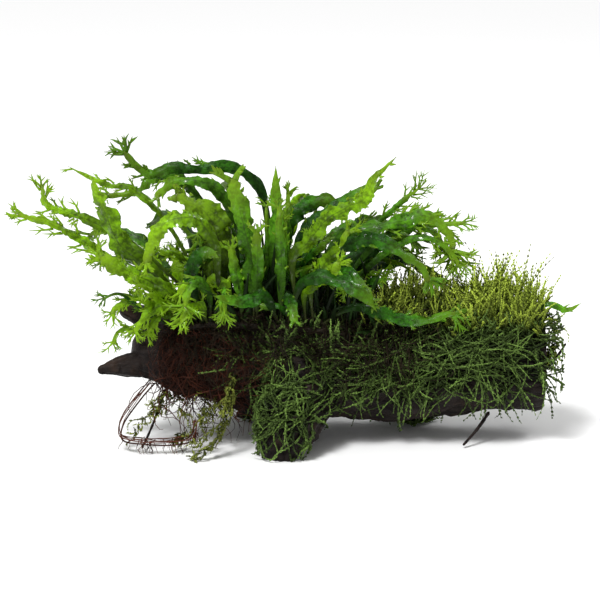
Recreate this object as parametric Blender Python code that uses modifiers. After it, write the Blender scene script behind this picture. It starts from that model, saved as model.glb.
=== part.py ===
"""A java fern clump and aquarium moss growing on a forked piece of driftwood.

Lengths are typed in millimetres and scaled to metres. +X runs along the log to its
sawn end, +Y to the back, +Z up. The wood rests at z = 0 on three worn flats.
"""

import math

import bmesh
import bpy
import numpy as np
from mathutils import Matrix, Vector, noise

MM = 0.001
GAP = 0.4  # clearance left between neighbouring pieces
LEAF_THICKNESS = 0.7
SAWN_END_X = 134.0
ORIGIN = (-0.5, 6.6)  # the point under the whole object's middle, before it is moved to the world's origin

TRUNK = [  # x, y, z, radius along the log
    (142, 0, 41, 23), (112, 0, 41, 25), (80, 1, 39, 27.5), (50, 3, 37.5, 28.5),
    (12, 2, 39, 28.5), (-28, 0, 43, 26), (-62, -2, 46, 22), (-88, -3, 49, 12.5),
]
LIMBS = {  # the forks that leave the log
    "driftwood_prong": [(-70, -5, 46, 8), (-88, -8, 43, 7.5), (-98, -10, 41.5, 5.5), (-108, -12, 40, 3.5)],
    "driftwood_stub": [(-66, 3, 56, 10), (-80, 3, 63, 8.5), (-94, 2, 69, 6.5)],
    "driftwood_foot": [(-2, -12, 36, 22), (-2, -27, 24, 18), (-7, -38, 12, 14), (-11, -44, -3, 8.5)],
    "driftwood_rear_knuckle": [(-4, 8, 38, 21), (-12, 22, 24, 16), (-22, 33, 8, 11.5), (-26, 37, -3, 9)],
    "driftwood_right_knuckle": [(50, 8, 37, 19), (58, 19, 22, 14), (68, 30, 6, 10), (72, 34, -3, 8)],
}

UP_FRONT = (0.0, -0.85, 0.5)
FRONT = (0.0, -1.0, 0.1)
TOP = (0.0, -0.35, 1.0)
BACK = (0.0, 0.85, 0.5)
LEFT_UP = (-0.6, -0.6, 0.5)

# name: (material, width, tip width, facing, route of the midrib)
FRONDS = {
    "frond_centre_tall": ("leaf_mid", 6.5, 5, FRONT, [
        (-14, -3, 76.5), (-14, -8, 93), (-13, -11, 112), (-13, -11, 127), (-13, -10, 141), (-13, -9, 153)]),
    "frond_centre_side": ("leaf_mid", 5, 7, FRONT, [
        (-8, 0, 76.5), (-8, 1, 105), (-7, 1, 124), (-6, 0, 141)]),
    "frond_forked": ("leaf_mid", 12, 14, FRONT, [
        (-25, -19, 71), (-25, -19, 97), (-29, -22, 118), (-34, -24, 140), (-37, -25, 154)]),
    "frond_high_arch": ("leaf_dark", 6.5, 15, FRONT, [
        (-24, 17, 71), (-18, 14, 112), (-23, 13, 138), (-37, 12, 148), (-55, 12, 147),
        (-71, 12, 148), (-81, 11, 144), (-90, 10, 150), (-99, 9, 162)]),
    "frond_under_arch": ("leaf_mid", 7, 6, UP_FRONT, [
        (-35, 0, 77), (-37, 6, 118), (-43, 6, 135), (-55, 5, 142), (-67, 5, 142), (-76, 5, 136), (-79, 5, 130)]),
    "frond_thin_left": ("leaf_bright", 4, 10, UP_FRONT, [
        (-51, 2, 77), (-72, 11, 116), (-92, 13, 136), (-103, 13, 138), (-114, 13, 142), (-127, 12, 149)]),
    "frond_drooping_left": ("leaf_mid", 6, 12, UP_FRONT, [
        (-46, 18, 72), (-52, 21, 118), (-66, 21, 141), (-80, 21, 141), (-92, 20, 133), (-112, 19, 131)]),
    "frond_crest_left": ("leaf_bright", 5, 11, UP_FRONT, [
        (-57, 1, 76.5), (-90, 4, 106), (-117, 4, 121), (-131, 4, 126), (-139, 3, 131), (-141, 2, 144)]),
    "frond_far_left": ("leaf_bright", 5.5, 17, UP_FRONT, [
        (-64, -17, 71), (-84, -18, 89), (-101, -20, 103), (-114, -22, 113), (-128, -24, 122), (-141, -26, 127.5),
        (-154, -28, 131)]),
    "frond_upturned_left": ("leaf_bright", 11, 5, LEFT_UP, [
        (-60, -5, 75), (-81, -10, 96), (-97, -15, 111), (-104, -17, 128), (-109, -18, 139), (-111, -19, 149)]),
    "frond_broad_left": ("leaf_bright", 10, 13, UP_FRONT, [
        (-58, -22, 71), (-71, -28, 88), (-88, -34, 99), (-100, -38, 106), (-109, -40, 112)]),
    "frond_s_curve": ("leaf_bright", 9.5, 7, UP_FRONT, [
        (-44, -19, 72), (-45, -23, 108), (-53, -27, 126), (-62, -30, 129), (-72, -32, 126), (-79, -33, 115),
        (-83, -34, 100)]),
    "frond_curled": ("leaf_dark", 8, 5, UP_FRONT, [
        (-53, -20, 72), (-58, -26, 92), (-56, -31, 107), (-50, -33, 111), (-43, -34, 108)]),
    "frond_broad_brown": ("leaf_brown", 15, 6, UP_FRONT, [
        (-41, -3, 77), (-42, -9, 98), (-45, -11, 116), (-51, -12, 128), (-60, -12, 134), (-69, -12, 140)]),
    "frond_hanging_fork": ("leaf_mid", 5, 13, FRONT, [
        (-48, -22, 72), (-49, -30, 87), (-54, -35, 95), (-59, -39, 92), (-61, -41, 84), (-62, -42, 76)]),
    "frond_dark_low_left": ("leaf_dark", 8, 6, UP_FRONT, [
        (-12, -22, 70), (-19, -31, 86), (-32, -37, 85), (-46, -41, 89)]),
    "frond_glossy_front": ("leaf_dark", 9, 6, UP_FRONT, [
        (-6, -21, 69.5), (0, -27, 91), (10, -32, 97), (20, -35, 96), (29, -38, 93), (37, -40, 86), (41, -41, 80)]),
    "frond_low_right": ("leaf_dark", 6.5, 14, UP_FRONT, [
        (12, -20, 68), (28, -22, 78), (42, -23, 76), (54, -23, 72), (68, -23, 71), (80, -22, 74), (88, -21, 72)]),
    "frond_pale_right": ("leaf_dark", 8, 9, UP_FRONT, [
        (6, -2, 75.5), (13, -8, 100), (24, -12, 109), (34, -15, 114), (45, -17, 113), (55, -19, 107),
        (65, -20, 100), (73, -21, 87)]),
    "frond_loop_right": ("leaf_mid", 8, 17, UP_FRONT, [
        (11, 1, 75.5), (15, 4, 101), (27, 4, 113), (42, 4, 117), (56, 4, 120), (67, 4, 123), (77, 3, 118),
        (83, 2, 108), (84, 1, 94)]),
    "frond_right_flag": ("leaf_bright", 9, 7, FRONT, [
        (-1, -20, 69.5), (-4, -19, 103), (4, -20, 113), (14, -22, 126), (26, -24, 134), (34, -25, 138),
        (40, -26, 150), (51, -26, 161)]),
    "frond_dark_behind": ("leaf_dark", 9, 6, UP_FRONT, [
        (-6, 21, 70), (-8, 18, 108), (-3, 17, 121), (5, 17, 127), (15, 17, 129), (22, 17, 123)]),
    "frond_dark_mid": ("leaf_dark", 9, 6, UP_FRONT, [
        (-1, 1, 76), (-1, 8, 104), (5, 10, 115), (14, 10, 122), (26, 10, 130), (36, 10, 136), (45, 10, 139)]),
    "frond_fine_right": ("leaf_mid", 3.5, 12, UP_FRONT, [
        (19, 25, 68), (37, 24, 106), (52, 23, 123), (60, 23, 130), (69, 22, 137)]),
    "frond_right_under": ("leaf_dark", 8, 6, UP_FRONT, [
        (16, 1, 75), (28, 11, 95), (44, 11, 106), (56, 11, 110), (68, 11, 106)]),
    "frond_right_tip": ("leaf_mid", 4.5, 8, UP_FRONT, [
        (13, 23, 69), (36, 16, 102), (60, 16, 113), (78, 15, 116), (95, 14, 117)]),
    "frond_small_left": ("leaf_dark", 4, 12, UP_FRONT, [
        (-69, -19, 65), (-84, -26, 78), (-97, -29, 87), (-109, -31, 83)]),
    "frond_small_prong": ("leaf_bright", 4, 12, UP_FRONT, [
        (-79, -18, 59), (-90, -23, 66), (-99, -24, 64), (-103, -24, 53)]),
    "frond_small_end": ("leaf_mid", 6, 7, UP_FRONT, [
        (127, -10, 72), (136, -11, 77), (145, -12, 74), (153, -13, 78)]),
    "frond_back_far_left": ("leaf_mid", 8, 12, BACK, [
        (-60, 17, 71), (-76, 28, 91), (-92, 37, 104), (-108, 45, 107), (-124, 50, 100)]),
    "frond_back_left": ("leaf_dark", 10, 7, BACK, [
        (-53, 20, 71), (-58, 33, 98), (-66, 45, 112), (-76, 56, 113), (-86, 65, 104)]),
    "frond_back_tall": ("leaf_mid", 10, 12, BACK, [
        (-32, 21, 71), (-33, 31, 104), (-36, 42, 124), (-40, 54, 132), (-46, 66, 126)]),
    "frond_back_centre": ("leaf_bright", 10, 8, BACK, [
        (-13, 23, 70), (-9, 33, 101), (-4, 44, 118), (3, 56, 122), (11, 68, 114)]),
    "frond_back_right": ("leaf_mid", 9, 13, BACK, [
        (3, 24, 69), (18, 34, 96), (31, 45, 109), (46, 55, 110), (60, 63, 101)]),
    "frond_back_low": ("leaf_dark", 9, 7, BACK, [
        (-20, 24, 68), (-24, 38, 83), (-28, 51, 87), (-32, 62, 78), (-34, 68, 65)]),
    "frond_back_low_right": ("leaf_dark", 9, 9, BACK, [
        (24, 28, 66), (38, 35, 84), (54, 41, 90), (71, 44, 84), (84, 46, 73)]),
}

# name: (material, wood it grows on, shares of that wood's length where it starts and
# ends, turn round it in degrees from the top towards the front, thickness, share of
# the thickness left at the rim)
PATCHES = {
    "root_mat": ("root_brown", "driftwood_trunk", (0.745, 0.905), (53, 114), 7.0, 0.35),
    "moss_front_left": ("moss_dark", "driftwood_trunk", (0.44, 0.725), (54, 98), 5.0, 0.3),
    "moss_front_right": ("moss_dark", "driftwood_trunk", (0.06, 0.43), (16, 122), 6.0, 0.3),
    "moss_top_right": ("moss_bright", "driftwood_trunk", (0.055, 0.25), (-42, 13), 33.0, 0.3),
    "moss_top_middle": ("moss_bright", "driftwood_trunk", (0.265, 0.48), (-32, 9), 24.0, 0.3),
    "moss_back": ("moss_dark", "driftwood_trunk", (0.07, 0.52), (-115, -47), 6.0, 0.3),
    "moss_back_left": ("moss_dark", "driftwood_trunk", (0.76, 0.89), (-112, -55), 6.0, 0.3),
    "moss_foot": ("moss_dark", "driftwood_foot", (0.36, 0.86), (-78, 78), 4.5, 0.3),
}

# name: (material, route with a radius at each point)
STRANDS = {
    "rhizome": ("rhizome_brown", [
        (-62, -3, 71.5, 2.4), (-45, -2, 72.5, 2.8), (-25, -1, 72.8, 2.8), (0, -1, 71.5, 2.8), (18, -1, 70, 2.4)]),
    "rhizome_front": ("rhizome_brown", [
        (-66, -19, 65.5, 2.4), (-45, -20, 67.5, 2.8), (-25, -20, 66.5, 2.8), (-5, -20, 65, 2.8),
        (16, -20, 64, 2.4)]),
    "rhizome_back": ("rhizome_brown", [
        (-64, 17, 66, 2.4), (-45, 19, 67, 2.8), (-25, 21, 66, 2.8), (-5, 23, 64.5, 2.8), (26, 26, 61.5, 2.4)]),
    "root_loop": ("root_brown", [
        (-80, -9, 31.5, 1.8), (-87, -17, 25, 1.5), (-96, -28, 14, 1.5), (-96, -34, 6.5, 1.5),
        (-84, -38, 3.5, 1.5), (-70, -38, 3, 1.5), (-58, -36, 6, 1.4), (-56, -33, 15, 1.0)]),
    "twig_left": ("twig_dark", [
        (-74, -9, 28, 1.1), (-78, -17, 18, 1.1), (-82, -26, 9, 1.0), (-86, -33, 1.5, 0.9)]),
    "twig_right": ("twig_dark", [(104, -15.5, 17, 1.5), (97, -22, 9, 1.4), (89, -28, 1.7, 1.2)]),
    "twig_end": ("twig_dark", [(136, -4, 38, 1.4), (141, -6, 45, 1.3), (146, -8, 54, 1.0)]),
    "moss_end_stem": ("moss_bright", [
        (135, 3, 69, 2.2), (140, 2, 62, 2.4), (141, 1, 51, 2.3), (138, 1, 41, 2.0)]),
    "moss_trailer": ("moss_dark", [
        (-36, -34, 45, 2.2), (-38, -39, 32, 2.5), (-41, -43, 20, 2.5), (-46, -47, 9, 2.5), (-55, -50, 3.2, 2.0)]),
}

COLOURS = {
    "driftwood": ((0.020, 0.013, 0.012), 0.35), "sawn_wood": ((0.03, 0.02, 0.018), 0.5),
    "leaf_bright": ((0.27, 0.40, 0.03), 0.4), "leaf_mid": ((0.11, 0.24, 0.02), 0.35),
    "leaf_dark": ((0.04, 0.12, 0.015), 0.25), "leaf_brown": ((0.17, 0.25, 0.02), 0.4),
    "rhizome_brown": ((0.06, 0.035, 0.015), 0.5), "root_brown": ((0.06, 0.03, 0.018), 0.7),
    "twig_dark": ((0.025, 0.014, 0.012), 0.5), "moss_dark": ((0.03, 0.055, 0.012), 0.6),
    "moss_bright": ((0.33, 0.36, 0.08), 0.6),
}


def clear_scene():
    for obj in list(bpy.data.objects):
        bpy.data.objects.remove(obj, do_unlink=True)


def collection(name, hidden=False):
    made = bpy.data.collections.new(name)
    bpy.context.scene.collection.children.link(made)
    made.hide_render = hidden
    return made


def material(name):
    if name in bpy.data.materials:
        return bpy.data.materials[name]
    colour, roughness = COLOURS[name]
    made = bpy.data.materials.new(name)
    made.use_nodes = True
    shader = made.node_tree.nodes["Principled BSDF"]
    shader.inputs["Base Color"].default_value = (*colour, 1.0)
    shader.inputs["Roughness"].default_value = roughness
    made.diffuse_color = (*colour, 1.0)
    return made


def add_object(name, mesh, home, material_name):
    """Links a mesh as an object with a material of its own kind."""
    obj = bpy.data.objects.new(name, mesh)
    mesh.materials.clear()
    mesh.materials.append(material(material_name))
    home.objects.link(obj)
    return obj


def smooth_route(points, count):
    """Evenly spread points on a Catmull-Rom curve through the given rows."""
    rows = np.array(points, dtype=float)
    rows = np.vstack([2 * rows[0] - rows[1], rows, 2 * rows[-1] - rows[-2]])
    at = np.linspace(0, len(points) - 1, count)
    i = np.minimum(at.astype(int), len(points) - 2)
    t = (at - i)[:, None]
    a, b, c, d = rows[i], rows[i + 1], rows[i + 2], rows[i + 3]
    return 0.5 * (2 * b + (c - a) * t + (2 * a - 5 * b + 4 * c - d) * t**2 + (3 * b - a - 3 * c + d) * t**3)


def unit(vectors):
    return vectors / np.linalg.norm(vectors, axis=-1, keepdims=True)


def tube_mesh(name, route, rings, sides):
    """A capped tube along a route whose rows are x, y, z, radius."""
    rows = smooth_route(route, rings) * MM
    curve = bpy.data.curves.new(name, "CURVE")
    curve.dimensions = "3D"
    curve.bevel_depth = 1.0
    curve.bevel_resolution = sides // 4 - 1 if sides >= 8 else 0
    curve.use_fill_caps = True
    spline = curve.splines.new("POLY")
    spline.points.add(rings - 1)
    for point, (x, y, z, radius) in zip(spline.points, rows):
        point.co = (x, y, z, 1.0)
        point.radius = radius
    holder = bpy.data.objects.new(name + "_curve", curve)
    mesh = bpy.data.meshes.new_from_object(holder)
    bpy.data.objects.remove(holder)
    bpy.data.curves.remove(curve)
    cleaned = bmesh.new()
    cleaned.from_mesh(mesh)
    bmesh.ops.remove_doubles(cleaned, verts=cleaned.verts, dist=0.00001)
    bmesh.ops.recalc_face_normals(cleaned, faces=cleaned.faces)
    cleaned.to_mesh(mesh)
    cleaned.free()
    mesh.name = name
    return mesh


def weather(mesh, depth, grain):
    """Pushes the surface in and out with noise stretched along the log, like worn grain."""
    shaped = bmesh.new()
    shaped.from_mesh(mesh)
    shaped.normal_update()
    moves = []
    for vert in shaped.verts:
        x, y, z = vert.co / MM
        push = noise.noise(Vector((x / grain, y / 9, z / 9)))
        push += 0.6 * noise.noise(Vector((x / 30 + 7, y / 22, z / 22)))
        moves.append(vert.normal * (push * depth * MM))
    for vert, move in zip(shaped.verts, moves):
        vert.co += move
    shaped.to_mesh(mesh)
    shaped.free()


def block(name, home, low, high):
    """A cuboid cutter between two corners in millimetres."""
    mesh = bpy.data.meshes.new(name)
    shape = bmesh.new()
    bmesh.ops.create_cube(shape, size=1.0)
    low, high = Vector(low) * MM, Vector(high) * MM
    for vert in shape.verts:
        vert.co = [l + (h - l) * (c + 0.5) for l, h, c in zip(low, high, vert.co)]
    shape.to_mesh(mesh)
    shape.free()
    cutter = add_object(name, mesh, home, "sawn_wood")
    cutter.display_type = "WIRE"
    return cutter


def cut(obj, cutter, name):
    modifier = obj.modifiers.new(name, "BOOLEAN")
    modifier.operation = "DIFFERENCE"
    modifier.solver = "EXACT"
    modifier.object = cutter


def grown_copy(name, mesh, home):
    """A cutter a little larger than a piece of wood, so that what it cuts stays clear of the bark."""
    grown = add_object("grown_" + name, mesh.copy(), home, "driftwood")
    grown.display_type = "WIRE"
    swell = grown.modifiers.new("clearance", "DISPLACE")
    swell.mid_level = 0.0
    swell.strength = 3 * GAP * MM
    return grown


def add_wood(home, helpers):
    """The log and its forks, each fork ended a hair's breadth off the log."""
    ground = block("below_ground", helpers, (-200, -120, -60), (200, 120, 0))
    saw = block("saw_cut", helpers, (SAWN_END_X, -80, -40), (SAWN_END_X + 60, 80, 120))
    broken = block("stub_break", helpers, (-120, -30, 74), (-60, 30, 100))
    mesh = tube_mesh("driftwood_trunk", TRUNK, 24, 20)
    weather(mesh, 2.6, 34)
    trunk = add_object("driftwood_trunk", mesh, home, "driftwood")
    cut(trunk, ground, "worn flat")
    cut(trunk, saw, "sawn end")
    grown_trunk = grown_copy("driftwood_trunk", mesh, helpers)
    wood, around = {"driftwood_trunk": trunk}, [grown_trunk]
    for name, route in LIMBS.items():
        limb_mesh = tube_mesh(name, route, 9, 12)
        weather(limb_mesh, 1.6, 16)
        limb = add_object(name, limb_mesh, home, "driftwood")
        cut(limb, grown_trunk, "fork line")
        cut(limb, ground, "worn flat")
        if name == "driftwood_stub":
            cut(limb, broken, "broken top")
        wood[name] = limb
        around.append(grown_copy(name, limb_mesh, helpers))
    return wood, around


def frame_along(centres, facing):
    """Side and outward directions for a ribbon that follows the centres."""
    along = unit(np.gradient(centres, axis=0))
    side = unit(np.cross(along, np.array(facing, dtype=float)))
    return side, np.cross(side, along)


def add_frond(name, home, material_name, width, tip_width, facing, route):
    """A leaf: a grid laid along its midrib, folded to a shallow V and thickened."""
    reach = np.linalg.norm(np.diff(np.array(route, dtype=float), axis=0), axis=1).sum()
    steps = int(np.clip(round(reach / 8), 6, 16))
    centres = smooth_route(route, steps + 1)
    side, outward = frame_along(centres, facing)
    t = np.linspace(0, 1, steps + 1)
    swell = np.clip((t - 0.12) / 0.4, 0, 1)
    half = 0.5 * (1.6 + (width - 1.6) * np.sin(swell * math.pi / 2))
    taper = np.clip((t - 0.62) / 0.2, 0, 1)
    flare = np.clip((t - 0.8) / 0.2, 0, 1)
    half = half * (1 - 0.45 * taper) + (0.5 * tip_width - 0.275 * width) * flare
    mesh = bpy.data.meshes.new(name)
    grid = bmesh.new()
    bmesh.ops.create_grid(grid, x_segments=steps, y_segments=2, size=1.0)
    grid.to_mesh(mesh)
    grid.free()
    flat = np.empty(len(mesh.vertices) * 3)
    mesh.vertices.foreach_get("co", flat)
    u, v = flat.reshape(-1, 3)[:, 0], flat.reshape(-1, 3)[:, 1]
    i = np.rint((u + 1) / 2 * steps).astype(int)
    v = np.rint(v)
    placed = centres[i] + side[i] * (v * half[i])[:, None] - outward[i] * (0.25 * abs(v) * half[i])[:, None]
    notch = (i == steps) & (v == 0)
    placed[notch] = 0.45 * placed[notch] + 0.55 * centres[steps - 1]
    mesh.vertices.foreach_set("co", (placed * MM).ravel())
    frond = add_object(name, mesh, home, material_name)
    solid = frond.modifiers.new("leaf thickness", "SOLIDIFY")
    solid.thickness = LEAF_THICKNESS * MM
    solid.offset = 0.0


def add_patch(name, home, bark, material_name, route, reach, turn, thickness, rim):
    """A growth on the bark: a grid wrapped on the wood, lifted clear of it, then thickened outwards."""
    axis = smooth_route(route, 121)[:, :3]
    length = np.linalg.norm(np.diff(axis, axis=0), axis=1).sum() * (reach[1] - reach[0])
    long_steps = int(np.clip(round(length / 8), 4, 12))
    round_steps = int(np.clip(round((turn[1] - turn[0]) / 15), 3, 10))
    mesh = bpy.data.meshes.new(name)
    grid = bmesh.new()
    bmesh.ops.create_grid(grid, x_segments=long_steps, y_segments=round_steps, size=1.0)
    grid.to_mesh(mesh)
    grid.free()
    flat = np.empty(len(mesh.vertices) * 3)
    mesh.vertices.foreach_get("co", flat)
    u, v = flat.reshape(-1, 3)[:, 0], flat.reshape(-1, 3)[:, 1]
    share = reach[0] + (reach[1] - reach[0]) * (0.5 + 0.5 * u * (1 - 0.09 * np.sin(7 * v + 1) ** 2))
    angle = np.radians(turn[0] + (turn[1] - turn[0]) * (0.5 + 0.5 * v * (1 - 0.08 * np.sin(5 * u) ** 2)))
    at = share * (len(axis) - 1)
    centre = np.stack([np.interp(at, range(len(axis)), axis[:, k]) for k in range(3)], axis=1)
    radius = np.interp(at, range(len(axis)), smooth_route(route, 121)[:, 3])
    along = np.gradient(axis, axis=0)
    along = unit(np.stack([np.interp(at, range(len(axis)), along[:, k]) for k in range(3)], axis=1))
    up = unit(np.array([0.0, 0.0, 1.0]) - along * along[:, 2:3])
    front = np.cross(up, along)
    far = (radius + 4)[:, None]
    points = centre + far * (np.cos(angle)[:, None] * up + np.sin(angle)[:, None] * front)
    mesh.vertices.foreach_set("co", (points * MM).ravel())
    middle_normal = mesh.polygons[len(mesh.polygons) // 2]
    if Vector(points[middle_normal.vertices[0]] - centre[middle_normal.vertices[0]]).dot(middle_normal.normal) < 0:
        mesh.flip_normals()
    patch = add_object(name, mesh, home, material_name)
    thick = patch.vertex_groups.new(name="thick")
    for k in range(len(mesh.vertices)):
        edge = max(abs(u[k]), abs(v[k]))
        thick.add([k], float(np.clip(1.6 * (1 - edge), 0, 1)), "REPLACE")
    wrap = patch.modifiers.new("lie on bark", "SHRINKWRAP")
    wrap.target = bark
    wrap.wrap_method = "NEAREST_SURFACEPOINT"
    wrap.wrap_mode = "ABOVE_SURFACE"
    wrap.offset = 3.8 * GAP * MM
    solid = patch.modifiers.new("growth", "SOLIDIFY")
    solid.thickness = thickness * MM
    solid.offset = 1.0
    solid.vertex_group = "thick"
    solid.thickness_vertex_group = rim
    return patch


def main():
    clear_scene()
    home = collection("java fern on driftwood")
    helpers = collection("cutters", hidden=True)
    wood, around = add_wood(home, helpers)
    for name, (material_name, route) in STRANDS.items():
        add_object(name, tube_mesh(name, route, 3 * len(route), 8), home, material_name)
    routes = {"driftwood_trunk": TRUNK, **LIMBS}
    for name, (material_name, bark, *shape) in PATCHES.items():
        patch = add_patch(name, home, wood[bark], material_name, routes[bark], *shape)
        for grown in around:
            if grown.name != "grown_" + bark:
                cut(patch, grown, "clear of " + grown.name)
    for name, row in FRONDS.items():
        add_frond(name, home, *row)
    to_middle = Matrix.Translation((-ORIGIN[0] * MM, -ORIGIN[1] * MM, 0.0))
    for obj in [*home.objects, *helpers.objects]:
        obj.data.transform(to_middle)


main()
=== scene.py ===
"""A java fern clump with moss and trailing roots on a forked piece of driftwood.

Lengths in the tables below are millimetres in the modelling frame, whose origin is
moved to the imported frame's by ORIGIN. +X runs along the log to its sawn end, +Y to the
back, +Z up.
"""

import math

import bpy
import numpy as np
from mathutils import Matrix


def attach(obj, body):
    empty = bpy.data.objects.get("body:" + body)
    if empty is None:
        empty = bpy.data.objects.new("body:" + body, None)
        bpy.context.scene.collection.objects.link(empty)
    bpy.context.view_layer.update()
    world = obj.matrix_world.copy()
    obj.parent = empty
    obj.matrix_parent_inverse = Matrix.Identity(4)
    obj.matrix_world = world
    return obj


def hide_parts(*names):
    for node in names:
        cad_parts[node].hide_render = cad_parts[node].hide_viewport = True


bl_info = {
    "name": "Java Fern on Driftwood",
    "version": (1, 0, 0),
    "blender": (4, 5, 0),
    "location": "3D View > Sidebar > Fern",
    "description": "Builds driftwood, fern fronds, moss and roots around the loaded frame",
    "category": "Add Mesh",
}

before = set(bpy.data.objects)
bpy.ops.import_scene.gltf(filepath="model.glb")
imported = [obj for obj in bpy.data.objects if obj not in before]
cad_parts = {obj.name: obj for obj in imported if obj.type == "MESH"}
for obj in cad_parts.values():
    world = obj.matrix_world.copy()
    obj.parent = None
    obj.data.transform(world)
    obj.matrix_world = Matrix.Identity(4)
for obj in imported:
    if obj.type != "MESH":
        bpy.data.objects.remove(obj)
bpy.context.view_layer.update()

MM = 0.001
ORIGIN = np.array([-0.5, 6.6, 0.0])
SAWN_END_X = 134.0
RING_TURNS_PER_METRE = 3600.0
UP = np.array([0.0, 0.0, 1.0])

# Colours that no setting holds.
RUST = (0.05, 0.026, 0.014)
WITHERED = (0.07, 0.075, 0.012)
RHIZOME_SCALES = ((0.004, 0.0025, 0.001), (0.016, 0.010, 0.004))
TWIG_BARK = ((0.004, 0.002, 0.002), (0.02, 0.011, 0.009))
FLOOR_WHITE = (0.92, 0.92, 0.92, 1.0)

# Seeds of the random draws, so that every run grows the same plant.
BARK_SEED, FROND_SEED, TURN_SEED, BESIDE_SEED, YOUNG_SEED = 3, 100, 300, 400, 900
BED_SEED, TUFT_SEED, TRAIL_SEED, ROOT_SEED = 500, 540, 560, 700
SHOOT_ROWS = 9
FINE_ROWS = 400
BLADE_AROUND = 16

TRUNK = [
    (142, 0, 41, 23), (112, 0, 41, 25), (80, 1, 39, 27.5), (50, 3, 37.5, 28.5),
    (12, 2, 39, 28.5), (-28, 0, 43, 26), (-62, -2, 46, 22), (-88, -3, 49, 12.5),
]
PRONG = [(-70, -5, 46, 8), (-88, -8, 43, 7.5), (-98, -10, 41.5, 5.5), (-108, -12, 40, 3.5)]
STUB = [(-66, 3, 56, 10), (-80, 3, 63, 8.5), (-94, 2, 69, 6.5)]
FOOT = [(-2, -12, 36, 22), (-2, -27, 24, 18), (-7, -38, 12, 14), (-11, -44, -3, 8.5)]
RIGHT_KNUCKLE = [(50, 8, 37, 19), (58, 19, 22, 14), (68, 30, 6, 10), (72, 34, -3, 8)]
REAR_KNUCKLE = [(-4, 8, 38, 21), (-12, 22, 24, 16), (-22, 33, 8, 11.5), (-26, 37, -3, 9)]

# node: route, first and last share of it, rows along, points around, flat first end, flat last
# end, and the height that it is cut off at. The trunk's first share is its sawn end.
SKINS = {
    "driftwood_trunk": (TRUNK, None, 0.968, 320, 220, True, False, None),
    "driftwood_prong": (PRONG, 0.1, 1.0, 90, 90, False, False, None),
    "driftwood_stub": (STUB, 0.05, 1.0, 60, 90, False, False, 73.5),
    "driftwood_foot": (FOOT, 0.1, 1.0, 110, 130, False, True, None),
    "driftwood_rear_knuckle": (REAR_KNUCKLE, 0.1, 1.0, 80, 100, False, True, None),
    "driftwood_right_knuckle": (RIGHT_KNUCKLE, 0.1, 1.0, 80, 100, False, True, None),
}

UP_FRONT = (0.0, -0.85, 0.5)
FRONT = (0.0, -1.0, 0.1)
BACK = (0.0, 0.85, 0.5)
LEFT_UP = (-0.6, -0.6, 0.5)

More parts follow.
